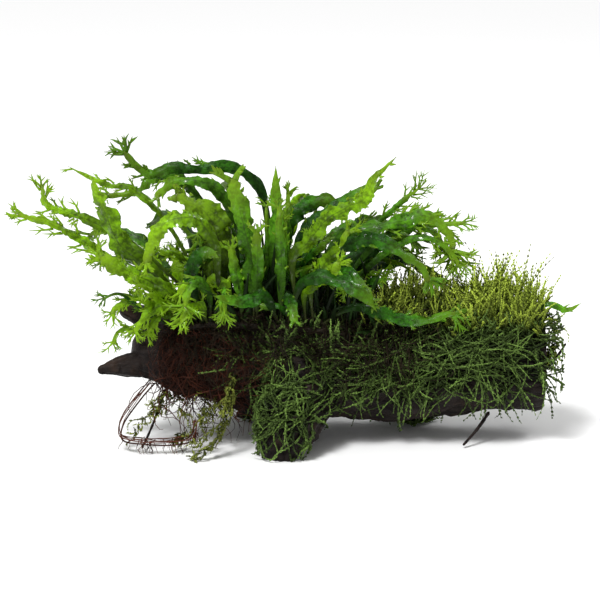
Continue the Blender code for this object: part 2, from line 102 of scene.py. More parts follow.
# name: tone, width, facing, tip fingers as (count, length, spread in degrees), side
# branches as (count, length), route of the midrib. One finger means a pointed tip.
FRONDS = {
    "centre_tall": ("mid", 6.5, FRONT, (1, 0, 0), (4, 2.5), [
        (-14, -3, 76.5), (-14, -8, 93), (-13, -11, 112), (-13, -11, 127), (-13, -10, 141), (-13, -9, 153)]),
    "centre_side": ("mid", 5, FRONT, (3, 8, 24), (5, 5), [
        (-8, 0, 76.5), (-8, 1, 105), (-7, 1, 124), (-6, 0, 141)]),
    "forked": ("mid", 12, FRONT, (2, 13, 34), (9, 3), [
        (-25, -19, 71), (-25, -19, 97), (-29, -22, 118), (-34, -24, 140), (-37, -25, 154)]),
    "high_arch": ("dark", 6.5, FRONT, (7, 11, 62), (11, 7), [
        (-24, 17, 71), (-18, 14, 112), (-23, 13, 138), (-37, 12, 148), (-55, 12, 147),
        (-71, 12, 148), (-81, 11, 144), (-90, 10, 150), (-99, 9, 162)]),
    "under_arch": ("mid", 7, UP_FRONT, (2, 7, 30), (5, 3), [
        (-35, 0, 77), (-37, 6, 118), (-43, 6, 135), (-55, 5, 142), (-67, 5, 142), (-76, 5, 136), (-79, 5, 130)]),
    "thin_left": ("bright", 4, UP_FRONT, (1, 0, 0), (6, 6), [
        (-51, 2, 77), (-72, 11, 116), (-92, 13, 136), (-103, 13, 138), (-114, 13, 142), (-127, 12, 149)]),
    "drooping_left": ("mid", 6, UP_FRONT, (5, 10, 45), (10, 7), [
        (-46, 18, 72), (-52, 21, 118), (-66, 21, 141), (-80, 21, 141), (-92, 20, 133), (-112, 19, 131)]),
    "crest_left": ("bright", 5, UP_FRONT, (3, 9, 38), (11, 8), [
        (-57, 1, 76.5), (-90, 4, 106), (-117, 4, 121), (-131, 4, 126), (-139, 3, 131), (-141, 2, 144)]),
    "far_left": ("bright", 5.5, UP_FRONT, (5, 7, 42), (12, 9), [
        (-64, -17, 71), (-84, -18, 89), (-101, -20, 103), (-114, -22, 113), (-128, -24, 122), (-141, -26, 127.5),
        (-154, -28, 131)]),
    "upturned_left": ("bright", 11, LEFT_UP, (1, 0, 0), (10, 3), [
        (-60, -5, 75), (-81, -10, 96), (-97, -15, 111), (-104, -17, 128), (-109, -18, 139), (-111, -19, 149)]),
    "broad_left": ("bright", 10, UP_FRONT, (5, 9, 45), (11, 4), [
        (-58, -22, 71), (-71, -28, 88), (-88, -34, 99), (-100, -38, 106), (-109, -40, 112)]),
    "s_curve": ("bright", 9.5, UP_FRONT, (3, 8, 30), (8, 3.5), [
        (-44, -19, 72), (-45, -23, 108), (-53, -27, 126), (-62, -30, 129), (-72, -32, 126), (-79, -33, 115),
        (-83, -34, 100)]),
    "curled": ("dark", 8, UP_FRONT, (1, 0, 0), (4, 2.5), [
        (-53, -20, 72), (-58, -26, 92), (-56, -31, 107), (-50, -33, 111), (-43, -34, 108)]),
    "broad_brown": ("brown", 15, UP_FRONT, (2, 7, 34), (9, 3), [
        (-41, -3, 77), (-42, -9, 98), (-45, -11, 116), (-51, -12, 128), (-60, -12, 134), (-69, -12, 140)]),
    "hanging_fork": ("mid", 5, FRONT, (4, 14, 72), (3, 7), [
        (-48, -22, 72), (-49, -30, 87), (-54, -35, 95), (-59, -39, 92), (-61, -41, 84), (-62, -42, 76)]),
    "dark_low_left": ("dark", 8, UP_FRONT, (1, 0, 0), (5, 2.5), [
        (-12, -22, 70), (-19, -31, 86), (-32, -37, 85), (-46, -41, 89)]),
    "glossy_front": ("dark", 9, UP_FRONT, (1, 0, 0), (6, 2.5), [
        (-6, -21, 69.5), (0, -27, 91), (10, -32, 97), (20, -35, 96), (29, -38, 93), (37, -40, 86), (41, -41, 80)]),
    "low_right": ("dark", 6.5, UP_FRONT, (6, 11, 60), (12, 4.5), [
        (12, -20, 68), (28, -22, 78), (42, -23, 76), (54, -23, 72), (68, -23, 71), (80, -22, 74), (88, -21, 72)]),
    "pale_right": ("dark", 8, UP_FRONT, (6, 9, 60), (8, 3.5), [
        (6, -2, 75.5), (13, -8, 100), (24, -12, 109), (34, -15, 114), (45, -17, 113), (55, -19, 107),
        (65, -20, 100), (73, -21, 87)]),
    "loop_right": ("mid", 8, UP_FRONT, (9, 15, 80), (22, 8), [
        (11, 1, 75.5), (15, 4, 101), (27, 4, 113), (42, 4, 117), (56, 4, 120), (67, 4, 123), (77, 3, 118),
        (83, 2, 108), (84, 1, 94)]),
    "right_flag": ("bright", 9, FRONT, (1, 0, 0), (12, 2.5), [
        (-1, -20, 69.5), (-4, -19, 103), (4, -20, 113), (14, -22, 126), (26, -24, 134), (34, -25, 138),
        (40, -26, 150), (51, -26, 161)]),
    "dark_behind": ("dark", 9, UP_FRONT, (2, 5, 22), (5, 3), [
        (-6, 21, 70), (-8, 18, 108), (-3, 17, 121), (5, 17, 127), (15, 17, 129), (22, 17, 123)]),
    "dark_mid": ("dark", 9, UP_FRONT, (2, 6, 24), (6, 3), [
        (-1, 1, 76), (-1, 8, 104), (5, 10, 115), (14, 10, 122), (26, 10, 130), (36, 10, 136), (45, 10, 139)]),
    "fine_right": ("mid", 3.5, UP_FRONT, (5, 10, 48), (12, 9), [
        (19, 25, 68), (37, 24, 106), (52, 23, 123), (60, 23, 130), (69, 22, 137)]),
    "right_under": ("dark", 8, UP_FRONT, (6, 12, 60), (8, 6), [
        (16, 1, 75), (28, 11, 95), (44, 11, 106), (56, 11, 110), (68, 11, 106)]),
    "right_tip": ("mid", 4.5, UP_FRONT, (4, 10, 50), (18, 9), [
        (13, 23, 69), (36, 16, 102), (60, 16, 113), (78, 15, 116), (95, 14, 117)]),
    "small_left": ("dark", 2.2, UP_FRONT, (4, 8, 55), (6, 6), [
        (-69, -19, 65), (-84, -26, 78), (-97, -29, 87), (-109, -31, 83)]),
    "small_prong": ("bright", 2.6, UP_FRONT, (4, 8, 55), (6, 6), [
        (-79, -18, 59), (-90, -23, 66), (-99, -24, 64), (-103, -24, 53)]),
    "small_end": ("mid", 3.5, UP_FRONT, (1, 0, 0), (3, 2.5), [
        (127, -10, 72), (136, -11, 77), (145, -12, 74), (153, -13, 78)]),
    "back_far_left": ("mid", 8, BACK, (5, 9, 45), (8, 5), [
        (-60, 17, 71), (-76, 28, 91), (-92, 37, 104), (-108, 45, 107), (-124, 50, 100)]),
    "back_left": ("dark", 10, BACK, (3, 7, 35), (8, 4), [
        (-53, 20, 71), (-58, 33, 98), (-66, 45, 112), (-76, 56, 113), (-86, 65, 104)]),
    "back_tall": ("mid", 10, BACK, (5, 9, 45), (8, 5), [
        (-32, 21, 71), (-33, 31, 104), (-36, 42, 124), (-40, 54, 132), (-46, 66, 126)]),
    "back_centre": ("bright", 10, BACK, (4, 8, 40), (8, 4), [
        (-13, 23, 70), (-9, 33, 101), (-4, 44, 118), (3, 56, 122), (11, 68, 114)]),
    "back_right": ("mid", 9, BACK, (6, 10, 50), (9, 5), [
        (3, 24, 69), (18, 34, 96), (31, 45, 109), (46, 55, 110), (60, 63, 101)]),
    "back_low": ("dark", 9, BACK, (3, 6, 30), (6, 3), [
        (-20, 24, 68), (-24, 38, 83), (-28, 51, 87), (-32, 62, 78), (-34, 68, 65)]),
    "back_low_right": ("dark", 9, BACK, (4, 8, 40), (8, 4), [
        (24, 28, 66), (38, 35, 84), (54, 41, 90), (71, 44, 84), (84, 46, 73)]),
}

# tone: how many shorter fronds crowd the foot of each one, their least and most share of
# its height, their share of its width, their tip and their side branches
YOUNG = {
    "bright": (2, 0.3, 0.55, 0.65, (4, 8, 45), (4, 5)),
    "brown": (1, 0.3, 0.55, 0.65, (3, 6, 30), (6, 3)),
    "mid": (3, 0.4, 0.85, 0.5, (4, 8, 50), (4, 4)),
    "dark": (6, 0.28, 0.6, 0.75, (2, 5, 30), (5, 2.5)),
}
RAGGED = {"bright": 1.0, "brown": 0.8, "mid": 0.6, "dark": 0.3}
# frond: width, tip and route of more fronds that grow beside it, all with the same side branches
BESIDE = {
    "broad_left": [
        (5.0, (5, 8, 60), [(-60, -24, 70), (-68, -30, 81), (-78, -34, 80), (-86, -36, 72), (-90, -37, 64)]),
        (5.5, (4, 8, 55), [(-50, -25, 70), (-54, -33, 82), (-61, -38, 79), (-66, -41, 69)]),
        (4.0, (5, 8, 60), [(-62, -20, 71), (-76, -24, 81), (-88, -26, 84), (-98, -28, 80), (-103, -28, 72)]),
        (4.5, (4, 7, 55), [(-64, -22, 70), (-74, -30, 76), (-80, -33, 70), (-83, -34, 62)]),
    ],
    "loop_right": [
        (4.0, (7, 10, 70), [(20, 5, 76), (45, 3, 101), (67, 0, 112), (82, -2, 104), (88, -3, 93)]),
        (4.5, (6, 9, 65), [(18, 8, 76), (40, 8, 105), (60, 6, 117), (75, 5, 112), (79, 4, 101)]),
    ],
}
BESIDE_LACE = (12, 6)
ALONE = ("small_left", "small_prong", "small_end")

# A dark frond that starts nearer the front than this gets one companion only.
FRONT_FEET_Y = -15

RHIZOMES = {
    "rhizome": [
        (-62, -3, 71.5, 2.4), (-45, -2, 72.5, 2.8), (-25, -1, 72.8, 2.8), (0, -1, 71.5, 2.8), (18, -1, 70, 2.4)],
    "rhizome_front": [
        (-66, -19, 65.5, 2.4), (-45, -20, 67.5, 2.8), (-25, -20, 66.5, 2.8), (-5, -20, 65, 2.8),
        (16, -20, 64, 2.4)],
    "rhizome_back": [
        (-64, 17, 66, 2.4), (-45, 19, 67, 2.8), (-25, 21, 66, 2.8), (-5, 23, 64.5, 2.8), (26, 26, 61.5, 2.4)],
}
TWIGS = {
    "twig_left": [(-74, -9, 28, 1.1), (-78, -17, 18, 1.1), (-82, -26, 9, 1.0), (-86, -33, 1.5, 0.9)],
    "twig_right": [(104, -15.5, 17, 1.5), (97, -22, 9, 1.4), (89, -28, 1.7, 1.2)],
    "twig_end": [(136, -4, 38, 1.4), (141, -6, 45, 1.3), (146, -8, 54, 1.0)],
}
ROOT_LOOP = [
    (-80, -9, 31.5, 1.0), (-87, -17, 25, 0.9), (-96, -28, 14, 0.9), (-96, -34, 6.5, 0.9),
    (-84, -38, 5.5, 0.8), (-70, -38, 5, 0.8), (-58, -36, 7, 0.8), (-56, -33, 15, 0.6)]
# rootlets under the low stretch of the loop, and how far above it its thin twins run
COMB_HAIRS = 46
TWIN_LIFTS = (0.5, 2.5, 4.5, 1.5, 3.5, 6.0)
MOSS_TRAILER = [(-36, -34, 45), (-38, -39, 32), (-41, -43, 20), (-46, -47, 9), (-55, -50, 3.2)]
MOSS_WISPS = [
    [(-60, -14, 31), (-73, -20, 25), (-85, -26, 17), (-94, -30, 9)],
    [(-64, -16, 30), (-66, -24, 22), (-61, -30, 14), (-66, -34, 7)],
    [(-55, -18, 30), (-51, -26, 22), (-54, -32, 13)],
    [(-46, -22, 31), (-43, -30, 22), (-49, -36, 13), (-58, -40, 5)],
    [(-70, -14, 31), (-76, -19, 24), (-80, -22, 18)],
]
MOSS_END_STEM = [(135, 3, 69), (140, 2, 62), (141, 1, 51), (138, 1, 41)]
TRAIL_SHOOTS, WISP_SHOOTS = 40, 13

# moss: the wood it creeps on, its reach along it, its turn around it in degrees, how many
# shoots, their length, how far they rise, and how many stand up among them
MOSS_BEDS = {
    "front_right": (TRUNK, (0.055, 0.46), (14, 98), 500, 29, 7.5, 150),
    "front_left": (TRUNK, (0.42, 0.72), (44, 100), 270, 26, 5.5, 150),
    "foot": (FOOT, (0.1, 0.7), (-85, 80), 210, 18, 4.0, 0),
    "back": (TRUNK, (0.06, 0.53), (-122, -40), 560, 25, 7.0, 0),
    "back_left": (TRUNK, (0.755, 0.895), (-115, -52), 330, 15, 5.5, 0),
}
STANDING_LENGTH = 17
# The back moss goes on over the forks behind, in beds of the same layout.
KNUCKLE_BEDS = (
    (REAR_KNUCKLE, (0.12, 0.62), (-180, 180), 170, 17, 6.0),
    (RIGHT_KNUCKLE, (0.12, 0.62), (-180, 180), 150, 17, 6.0),
)
# upright moss: its reach and turn on the log, how many shoots, their length, and a power
# that makes more of them old and dark
MOSS_TUFTS = {
    "top_right": ((0.045, 0.27), (-46, 42), 640, 36, 0.8),
    "top_middle": ((0.25, 0.5), (-38, 38), 520, 32, 2.3),
}

FLOOR_HALF = 6.0
LIT_POINT = np.array([0.0, 0.0, 0.07])
VIEWED_POINT = np.array([0.0, 0.0, 76.5])
# light: kind, place in metres, size in metres or angle in degrees, strength
LIGHTS = {
    "overhead": ("SUN", (-0.45, -0.55, 1.25), 16.0, None),  # its strength is a setting
    "key": ("AREA", (-0.35, -0.75, 1.25), 0.4, 7.0),
    "rim": ("AREA", (0.55, 0.65, 0.95), 0.4, 5.0),
}


# ---------------------------------------------------------------- settings


def colour_prop(name, description, default):
    return bpy.props.FloatVectorProperty(
        name=name, description=description, subtype="COLOR", size=3, min=0.0, max=1.0, default=default
    )


def length_prop(name, description, default):
    return bpy.props.FloatProperty(name=name, description=description, unit="LENGTH", default=default, min=0.0)


class FernWoodSettings(bpy.types.PropertyGroup):
    dark: colour_prop("Dark wood", "Colour of the wet wood in its grooves", (0.0035, 0.0022, 0.0020))
    light: colour_prop("Light wood", "Colour of the wood on its worn ridges", (0.022, 0.0145, 0.0120))
    sawn: colour_prop("Sawn wood", "Colour of the rings on the sawn end", (0.062, 0.040, 0.026))
    gnarl: length_prop("Gnarl depth", "How far knots stand out of the log", 3.0 * MM)
    grain: length_prop("Grain depth", "Depth of the grooves along the log", 1.6 * MM)


class FernLeafSettings(bpy.types.PropertyGroup):
    # The young fronds' colour is their own lighter green with a painted glow of light shining through them.
    bright: colour_prop("Young leaf with painted glow", "Colour of the youngest fronds", (0.150, 0.32, 0.003))
    mid: colour_prop("Leaf", "Colour of most fronds", (0.060, 0.186, 0.005))
    dark: colour_prop("Old leaf", "Colour of the oldest fronds", (0.022, 0.100, 0.004))
    brown: colour_prop("Spotted leaf", "Colour of the broad brownish frond", (0.086, 0.172, 0.004))
    stalk: colour_prop("Stalk", "Colour of the stalk and midrib", (0.022, 0.028, 0.006))
    tip: colour_prop("Leaf tip", "Colour of the lacy tips", (0.20, 0.34, 0.012))
    thickness: length_prop("Leaf thickness", "Thickness at the midrib", 0.55 * MM)


class FernMossSettings(bpy.types.PropertyGroup):
    bright_base: colour_prop("Upright moss, base", "Colour low on the upright shoots", (0.022, 0.04, 0.007))
    bright_tip: colour_prop("Upright moss, tip", "Colour of the upright shoots' tips", (0.62, 0.80, 0.09))
    dark_base: colour_prop("Creeping moss, base", "Colour inside the creeping mat", (0.0035, 0.007, 0.0025))
    dark_tip: colour_prop("Creeping moss, tip", "Colour of the creeping shoots' tips", (0.23, 0.38, 0.078))
    trail_tip: colour_prop(
        "Trailing moss, tip", "Colour of the shoots that hang under the log", (0.36, 0.42, 0.07)
    )
    leaflet: length_prop("Leaflet length", "Length of one moss leaflet", 2.4 * MM)


class FernRootSettings(bpy.types.PropertyGroup):
    dark: colour_prop("Dark root", "Colour of the older root hairs", (0.005, 0.003, 0.002))
    light: colour_prop("Light root", "Colour of the younger root hairs", (0.13, 0.036, 0.018))
    peat_dark: colour_prop("Dark crown felt", "Colour deep in the felt under the fronds", (0.003, 0.0025, 0.0015))
    peat_light: colour_prop("Crown felt", "Colour of the felt's loose ends", (0.022, 0.014, 0.006))
    stalk_dark: colour_prop("Dark old stalk", "Colour at the foot of the old stalks", (0.003, 0.004, 0.0015))
    stalk_light: colour_prop("Old stalk", "Colour of the old stalks' ends", (0.016, 0.052, 0.005))
    radius: length_prop("Root hair radius", "Radius of one root hair", 0.24 * MM)


class FernStageSettings(bpy.types.PropertyGroup):
    elevation: bpy.props.FloatProperty(
        name="Camera height", description="Angle of the camera above level", subtype="ANGLE",
        default=math.radians(14.0),
    )
    distance: length_prop("Camera distance", "Distance from camera to the object's middle", 1.2)
    frame_width: length_prop("Framed width", "Width that the camera takes in at the object", 0.33)
    sky: bpy.props.FloatProperty(name="Sky", description="Strength of the even white light", default=0.44, min=0.0)
    overhead: bpy.props.FloatProperty(
        name="Overhead light", description="Strength of the light from above", default=2.25, min=0.0
    )


# ---------------------------------------------------------------- arrays


def unit(vectors):
    """Each vector divided by its length."""
    return vectors / np.maximum(np.linalg.norm(vectors, axis=-1, keepdims=True), 1e-12)


def hashed(ix, iy, iz, seed):
    """A number from -1 to 1 that depends only on three whole numbers and the seed."""
    h = (ix * 374761393 + iy * 668265263 + iz * 1442695041 + seed * 974711) & 0xFFFFFFFF
    h = ((h ^ (h >> 13)) * 1274126177) & 0xFFFFFFFF
    return ((h ^ (h >> 16)) & 0xFFFF) / 32767.5 - 1.0


def noise3(x, y, z, seed=0):
    """Value noise: hashed corners of the unit lattice blended by smooth steps, about -1 to 1."""
    x, y, z = np.broadcast_arrays(x, y, z)
    cell = [np.floor(c).astype(np.int64) for c in (x, y, z)]
    fx, fy, fz = (c - i for c, i in zip((x, y, z), cell))
    fx, fy, fz = (f * f * (3 - 2 * f) for f in (fx, fy, fz))
    total = 0.0
    for dx in (0, 1):
        for dy in (0, 1):
            for dz in (0, 1):
                share = (fx if dx else 1 - fx) * (fy if dy else 1 - fy) * (fz if dz else 1 - fz)
                total = total + share * hashed(cell[0] + dx, cell[1] + dy, cell[2] + dz, seed)
    return total


def layered(x, y, z, octaves, seed=0):
    """Noise summed over octaves, each half as strong and about twice as fine as the one before."""
    total, strength = 0.0, 1.0
    for k in range(octaves):
        scale = 2.03**k
        total = total + strength * noise3(x * scale, y * scale, z * scale, seed + 17 * k)
        strength *= 0.5
    return total


def smooth_route(points, count):
    """Points spread on a Catmull-Rom curve through the given rows, evenly by row number."""
    rows = np.array(points, dtype=float)
    rows = np.vstack([2 * rows[0] - rows[1], rows, 2 * rows[-1] - rows[-2]])
    at = np.linspace(0, len(points) - 1, count)
    i = np.minimum(at.astype(int), len(points) - 2)
    t = (at - i)[:, None]
    a, b, c, d = rows[i], rows[i + 1], rows[i + 2], rows[i + 3]
    return 0.5 * (2 * b + (c - a) * t + (2 * a - 5 * b + 4 * c - d) * t**2 + (3 * b - a - 3 * c + d) * t**3)


def frames(centres, facing):
    """Side and outward directions along batches of centre lines: side is across the line and
    the facing direction, outward completes the frame."""
    along = unit(np.gradient(centres, axis=-2))
    side = unit(np.cross(along, np.broadcast_to(np.asarray(facing, dtype=float), along.shape)))
    return along, side, np.cross(side, along)


def tube_faces(batch, rows, around):
    """Faces of batches of closed tubes: quads between rings, and fans to a pole at each end."""
    i, j = np.meshgrid(np.arange(rows - 1), np.arange(around), indexing="ij")
    k = (j + 1) % around
    quads = np.stack([i * around + j, (i + 1) * around + j, (i + 1) * around + k, i * around + k], axis=-1)
    quads = quads.reshape(-1, 4)
    j = np.arange(around)
    k = (j + 1) % around
    last = (rows - 1) * around
    start = np.stack([np.full(around, rows * around), j, k], axis=-1)
    end = np.stack([np.full(around, rows * around + 1), last + k, last + j], axis=-1)
    fans = np.concatenate([start, end])
    step = (np.arange(batch) * (rows * around + 2))[:, None, None]
    return (quads[None] + step).reshape(-1, 4), (fans[None] + step).reshape(-1, 3)


def tubes(centres, half_width, half_depth, facing, around, shade, fold=0.0, wave=None):
    """Batches of closed tubes with an elliptical ring at each point of a centre line.

    Ring point = centre + side * w * cos(a) + outward * (d * sin(a) - fold * w * |cos(a)| + wave).
    Returns points, quads, triangles and a place on the map for each point: how far across
    the ring, or the shade where one is given, and how far along the line.
    """
    batch, rows = centres.shape[:2]
    angle = np.arange(around) * (2 * math.pi / around)
    across, above = np.cos(angle), np.sin(angle)
    _, side, outward = frames(centres, facing)
    width = half_width[..., None] * across
    height = half_depth[..., None] * above - fold * half_width[..., None] * np.abs(across)
    if wave is not None:
        height = height + wave(across, above)
    ring = centres[:, :, None] + side[:, :, None] * width[..., None] + outward[:, :, None] * height[..., None]
    poles = np.stack([ring[:, 0].mean(axis=1), ring[:, -1].mean(axis=1)], axis=1)
    points = np.concatenate([ring.reshape(batch, -1, 3), poles], axis=1).reshape(-1, 3)
    t = np.linspace(0, 1, rows)
    if shade is None:
        u = np.broadcast_to((0.5 + 0.5 * across)[None, None], (batch, rows, around))
        pole_u = np.full((batch, 2), 0.5)
    else:
        u = np.broadcast_to(shade[:, None, None], (batch, rows, around))
        pole_u = np.repeat(shade[:, None], 2, axis=1)
    v = np.broadcast_to(t[None, :, None], (batch, rows, around))
    pole_v = np.broadcast_to(np.array([0.0, 1.0]), (batch, 2))
    flat_u = np.concatenate([u.reshape(batch, -1), pole_u], axis=1)
    flat_v = np.concatenate([v.reshape(batch, -1), pole_v], axis=1)
    quads, fans = tube_faces(batch, rows, around)
    return points, quads, fans, np.stack([flat_u.ravel(), flat_v.ravel()], axis=-1)


def joined(parts):
    """One set of points, quads, triangles and map places from several."""
    points, quads, fans, places, base = [], [], [], [], 0
    for p, q, f, m in parts:
        points.append(p)
        quads.append(q + base)
        fans.append(f + base)
        places.append(m)
        base += len(p)
    return np.concatenate(points), np.concatenate(quads), np.concatenate(fans), np.concatenate(places)


def thinned(count):
    return int(count * (1.0))


def add_piece(name, shape, material, replaces, map_name="OFBake"):
    """Puts worked-out arrays into a mesh object that rides on the body and stands for CAD nodes."""
    unknown = [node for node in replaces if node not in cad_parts]
    if unknown:
        raise ValueError(f"{name} stands for nodes that the frame lacks: {unknown}")
    points, quads, fans, places = shape
    points = (points - ORIGIN) * MM
    mesh = bpy.data.meshes.new(name)
    corners = np.concatenate([quads.ravel(), fans.ravel()]).astype(np.int32)
    mesh.vertices.add(len(points))
    mesh.vertices.foreach_set("co", points.astype(np.float32).ravel())
    mesh.loops.add(len(corners))
    mesh.loops.foreach_set("vertex_index", corners)
    starts = np.concatenate([np.arange(len(quads)) * 4, len(quads) * 4 + np.arange(len(fans)) * 3])
    mesh.polygons.add(len(starts))
    mesh.polygons.foreach_set("loop_start", starts.astype(np.int32))
    layer = mesh.uv_layers.new(name=map_name)
    layer.uv.foreach_set("vector", places[corners].astype(np.float32).ravel())
    mesh.update(calc_edges=True)
    mesh.validate()
    mesh.shade_smooth()
    mesh.materials.append(material)
    obj = bpy.data.objects.new(name, mesh)
    bpy.context.scene.collection.objects.link(obj)
    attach(obj, "root")
    if replaces:
        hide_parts(*replaces)
    return obj


# ---------------------------------------------------------------- wood surface


class Bark:
    """A piece of wood as a surface: a radius that varies along an axis, with knots and grain.

    point(share, turn) = axis(share) + (radius(share) * scale + knots + grooves + lift) * direction(turn),
    where turn is measured from the top towards the front.
    """

    def __init__(self, route, settings, seed=BARK_SEED):
        rows = smooth_route(route, 241)
        self.axis, self.radius = rows[:, :3], rows[:, 3]
        self.along = unit(np.gradient(self.axis, axis=0))
        self.length = np.linalg.norm(np.diff(self.axis, axis=0), axis=1).sum()
        self.gnarl, self.grain = settings.gnarl / MM, settings.grain / MM
        self.seed = seed

    def read(self, table, share):
        """A row table read at fractional places along the axis."""
        at = np.clip(share, 0, 1) * (len(table) - 1)
        i = np.minimum(at.astype(int), len(table) - 2)
        t = at - i
        if table.ndim == 2:
            t = t[..., None]
        return table[i] * (1 - t) + table[i + 1] * t

    def direction(self, share, turn):
        along = unit(self.read(self.along, share))
        up = unit(UP - along * along[..., 2:3])
        front = np.cross(up, along)
        return np.cos(turn)[..., None] * up + np.sin(turn)[..., None] * front

    def relief(self, base, share, turn, radius):
        """Knots from broad noise in space, grooves from noise drawn out along the axis."""
        x, y, z = base[..., 0], base[..., 1], base[..., 2]
        knots = layered(x / 30 + 5, y / 17, z / 17, 3, self.seed) + 0.5 * layered(x / 11, y / 7.5, z / 7.5, 2, 61)
        run = share * self.length
        ca, sa = np.cos(turn) * radius, np.sin(turn) * radius
        twist = 0.9 * noise3(run / 22, ca / 9, sa / 9, 41)
        grooves = layered(run / 26 + twist, ca / 2.6, sa / 2.6, 2, self.seed + 5)
        cracks = 1 - np.minimum(1, 5 * np.abs(noise3(run / 34 + 2 * twist, ca / 5, sa / 5, self.seed + 9)))
        pits = layered(x / 3.1, y / 2.6, z / 2.6, 2, self.seed + 21)
        return self.gnarl * knots + self.grain * (0.55 * grooves - 0.9 * cracks + 0.28 * pits)

    def point(self, share, turn, lift=0.0, scale=1.0):
        share, turn = np.broadcast_arrays(share, turn)
        centre = self.read(self.axis, share)
        radius = self.read(self.radius, share)
        way = self.direction(share, turn)
        base = centre + way * radius[..., None]
        relief = self.relief(base, share, turn, radius)
        reach = (radius + relief * np.minimum(1.0, (radius + 2) / 12)) * scale + lift
        return centre + way * reach[..., None]


def wood_skin(bark, first, last, long_rows, around, flat_first, flat_last, top=None):
    """A closed skin on a piece of wood, from share first to last. A flat end gets rings that
    shrink in its plane; a round end gets rings that shrink over the last stretch."""
    cap = 14
    grow = np.linspace(0.05, 1, cap)[:-1]
    body = np.linspace(first, last, long_rows)
    dome = np.sqrt(1 - (1 - grow) ** 2)
    run = 0.0 if flat_first else 0.55 * bark.radius[0] / bark.length
    share = np.concatenate([first - run * (1 - grow), body, np.full(cap - 1, last)])
    start, end = (grow if flat else dome for flat in (flat_first, flat_last))
    scale = np.concatenate([start, np.ones(long_rows), end[::-1]])
    turn = -np.arange(around) * (2 * math.pi / around)
    rows = len(share)
    points = bark.point(share[:, None], turn[None, :], scale=scale[:, None])
    if not flat_last:
        bulge = bark.radius[-1] * 0.9 * np.concatenate([np.zeros(rows - cap + 1), 1 - grow[::-1]])
        points = points + (bulge[:, None] * bark.along[-1])[:, None]
    points[..., 2] = np.maximum(points[..., 2], 0.0)
    if top is not None:
        ragged = top + 0.8 * layered(points[..., 0] / 3, points[..., 1] / 3, 0.0, 2, 77)
        points[..., 2] = np.minimum(points[..., 2], ragged)
    poles = np.stack([points[0].mean(axis=0), points[-1].mean(axis=0)])
    flat = np.concatenate([points.reshape(-1, 3), poles])
    quads, fans = tube_faces(1, rows, around)
    u = np.broadcast_to(np.linspace(0, 1, around)[None], (rows, around)).reshape(-1)
    v = np.broadcast_to(np.linspace(0, 1, rows)[:, None], (rows, around)).reshape(-1)
    places = np.stack([np.append(u, [0.5, 0.5]), np.append(v, [0.0, 1.0])], axis=-1)
    return flat, quads, fans, places


# ---------------------------------------------------------------- fronds


def blade(centres, width, facing, pointed, thickness, seed, rows, reach, ragged):
    """A frond's blade: a strip with a lens section, its edges rippled, frilled and folded.

    Half width = stalk rising as a sine to the full width, then tapering past the middle to a
    point or to the crest. Each edge is scaled by its own noise, and rises and falls by the
    square of how far out it is.
    """
    rng = np.random.default_rng(seed)
    t = np.linspace(0, 1, rows)
    stalk = 1.3
    swell = np.sin(np.clip((t - 0.06) / 0.34, 0, 1) * math.pi / 2)
    half = 0.5 * (stalk + (width - stalk) * swell)
    if pointed:
        half = half * np.maximum(0.04, 1 - np.clip((t - 0.55) / 0.45, 0, 1) ** 1.8)
    else:
        half = half * (1 - 0.55 * np.clip((t - 0.55) / 0.45, 0, 1) ** 1.3)
    run = t * reach
    leafy = np.clip((t - 0.08) / 0.2, 0, 1)
    edges = [
        1 + leafy * (0.3 * noise3(run / 6, seed, side, 5) + 0.22 * ragged * noise3(run / 1.8, seed, 9.0 + side, 6))
        for side in (0.0, 30.0)
    ]
    phase = rng.uniform(0, 6.28)
    frill = half * leafy * (0.22 * np.sin(run / 2.7 + phase) + 0.42 * noise3(run / 4.5, seed, 2.0, 8))
    lean = half * leafy * 0.5 * noise3(run / 13.0, seed, 5.0, 8)

    def wave(across, above):
        rib = np.exp(-((across / 0.16) ** 2)) * np.sign(above)
        return (
            frill[None, :, None] * across**2 * np.where(across > 0, 1.0, -0.8)
            + lean[None, :, None] * across * np.abs(across)
            + 0.22 * thickness * rib * leafy[None, :, None]
        )

    depth = np.maximum(0.5 * thickness * (0.75 + 0.25 * leafy), 0.45 * (1 - leafy))
    points, quads, fans, places = tubes(
        centres[None], half[None], depth[None], facing, BLADE_AROUND, None, fold=0.25, wave=wave
    )
    along, side, outward = (way[0] for way in frames(centres[None], facing))
    offset = points[:-2].reshape(rows, BLADE_AROUND, 3) - centres[:, None]
    across = np.einsum("rac,rc->ra", offset, side)
    stretch = np.where(across > 0, edges[0][:, None], edges[1][:, None]) - 1
    points[:-2] += (side[:, None] * (across * stretch)[..., None]).reshape(-1, 3)
    return (points, quads, fans, places), half, along, side, outward


def fingers(starts, heads, bends, lengths, base_width, facing, rng, forks=2):
    """Lacy points: bent tapering slips, each with side slips of half its length."""
    count = len(starts)
    s = np.linspace(0, 1, 8)
    lines = starts[:, None] + lengths[:, None, None] * (
        heads[:, None] * s[None, :, None] + bends[:, None] * (s**2)[None, :, None]
    )
    taper = (1.05 - 0.85 * s**1.5)[None] * np.ones((count, 1))
    all_lines, all_widths = [lines], [base_width * taper]
    _, side, outward = frames(lines, facing)
    for k in range(forks):
        where = 3 + k
        sign = np.where(rng.uniform(size=count) < 0.5, 1.0, -1.0)[:, None] * (-1) ** k
        turned = unit(heads + sign * side[:, where] * rng.uniform(0.5, 1.1, count)[:, None]
                      + outward[:, where] * rng.uniform(-0.3, 0.3, count)[:, None])
        size = lengths * rng.uniform(0.3, 0.55, count)
        all_lines.append(lines[:, where][:, None] + size[:, None, None] * (
            turned[:, None] * s[None, :, None] + bends[:, None] * 0.5 * (s**2)[None, :, None]
        ))
        all_widths.append(0.7 * base_width * taper)
    return np.concatenate(all_lines), np.concatenate(all_widths)


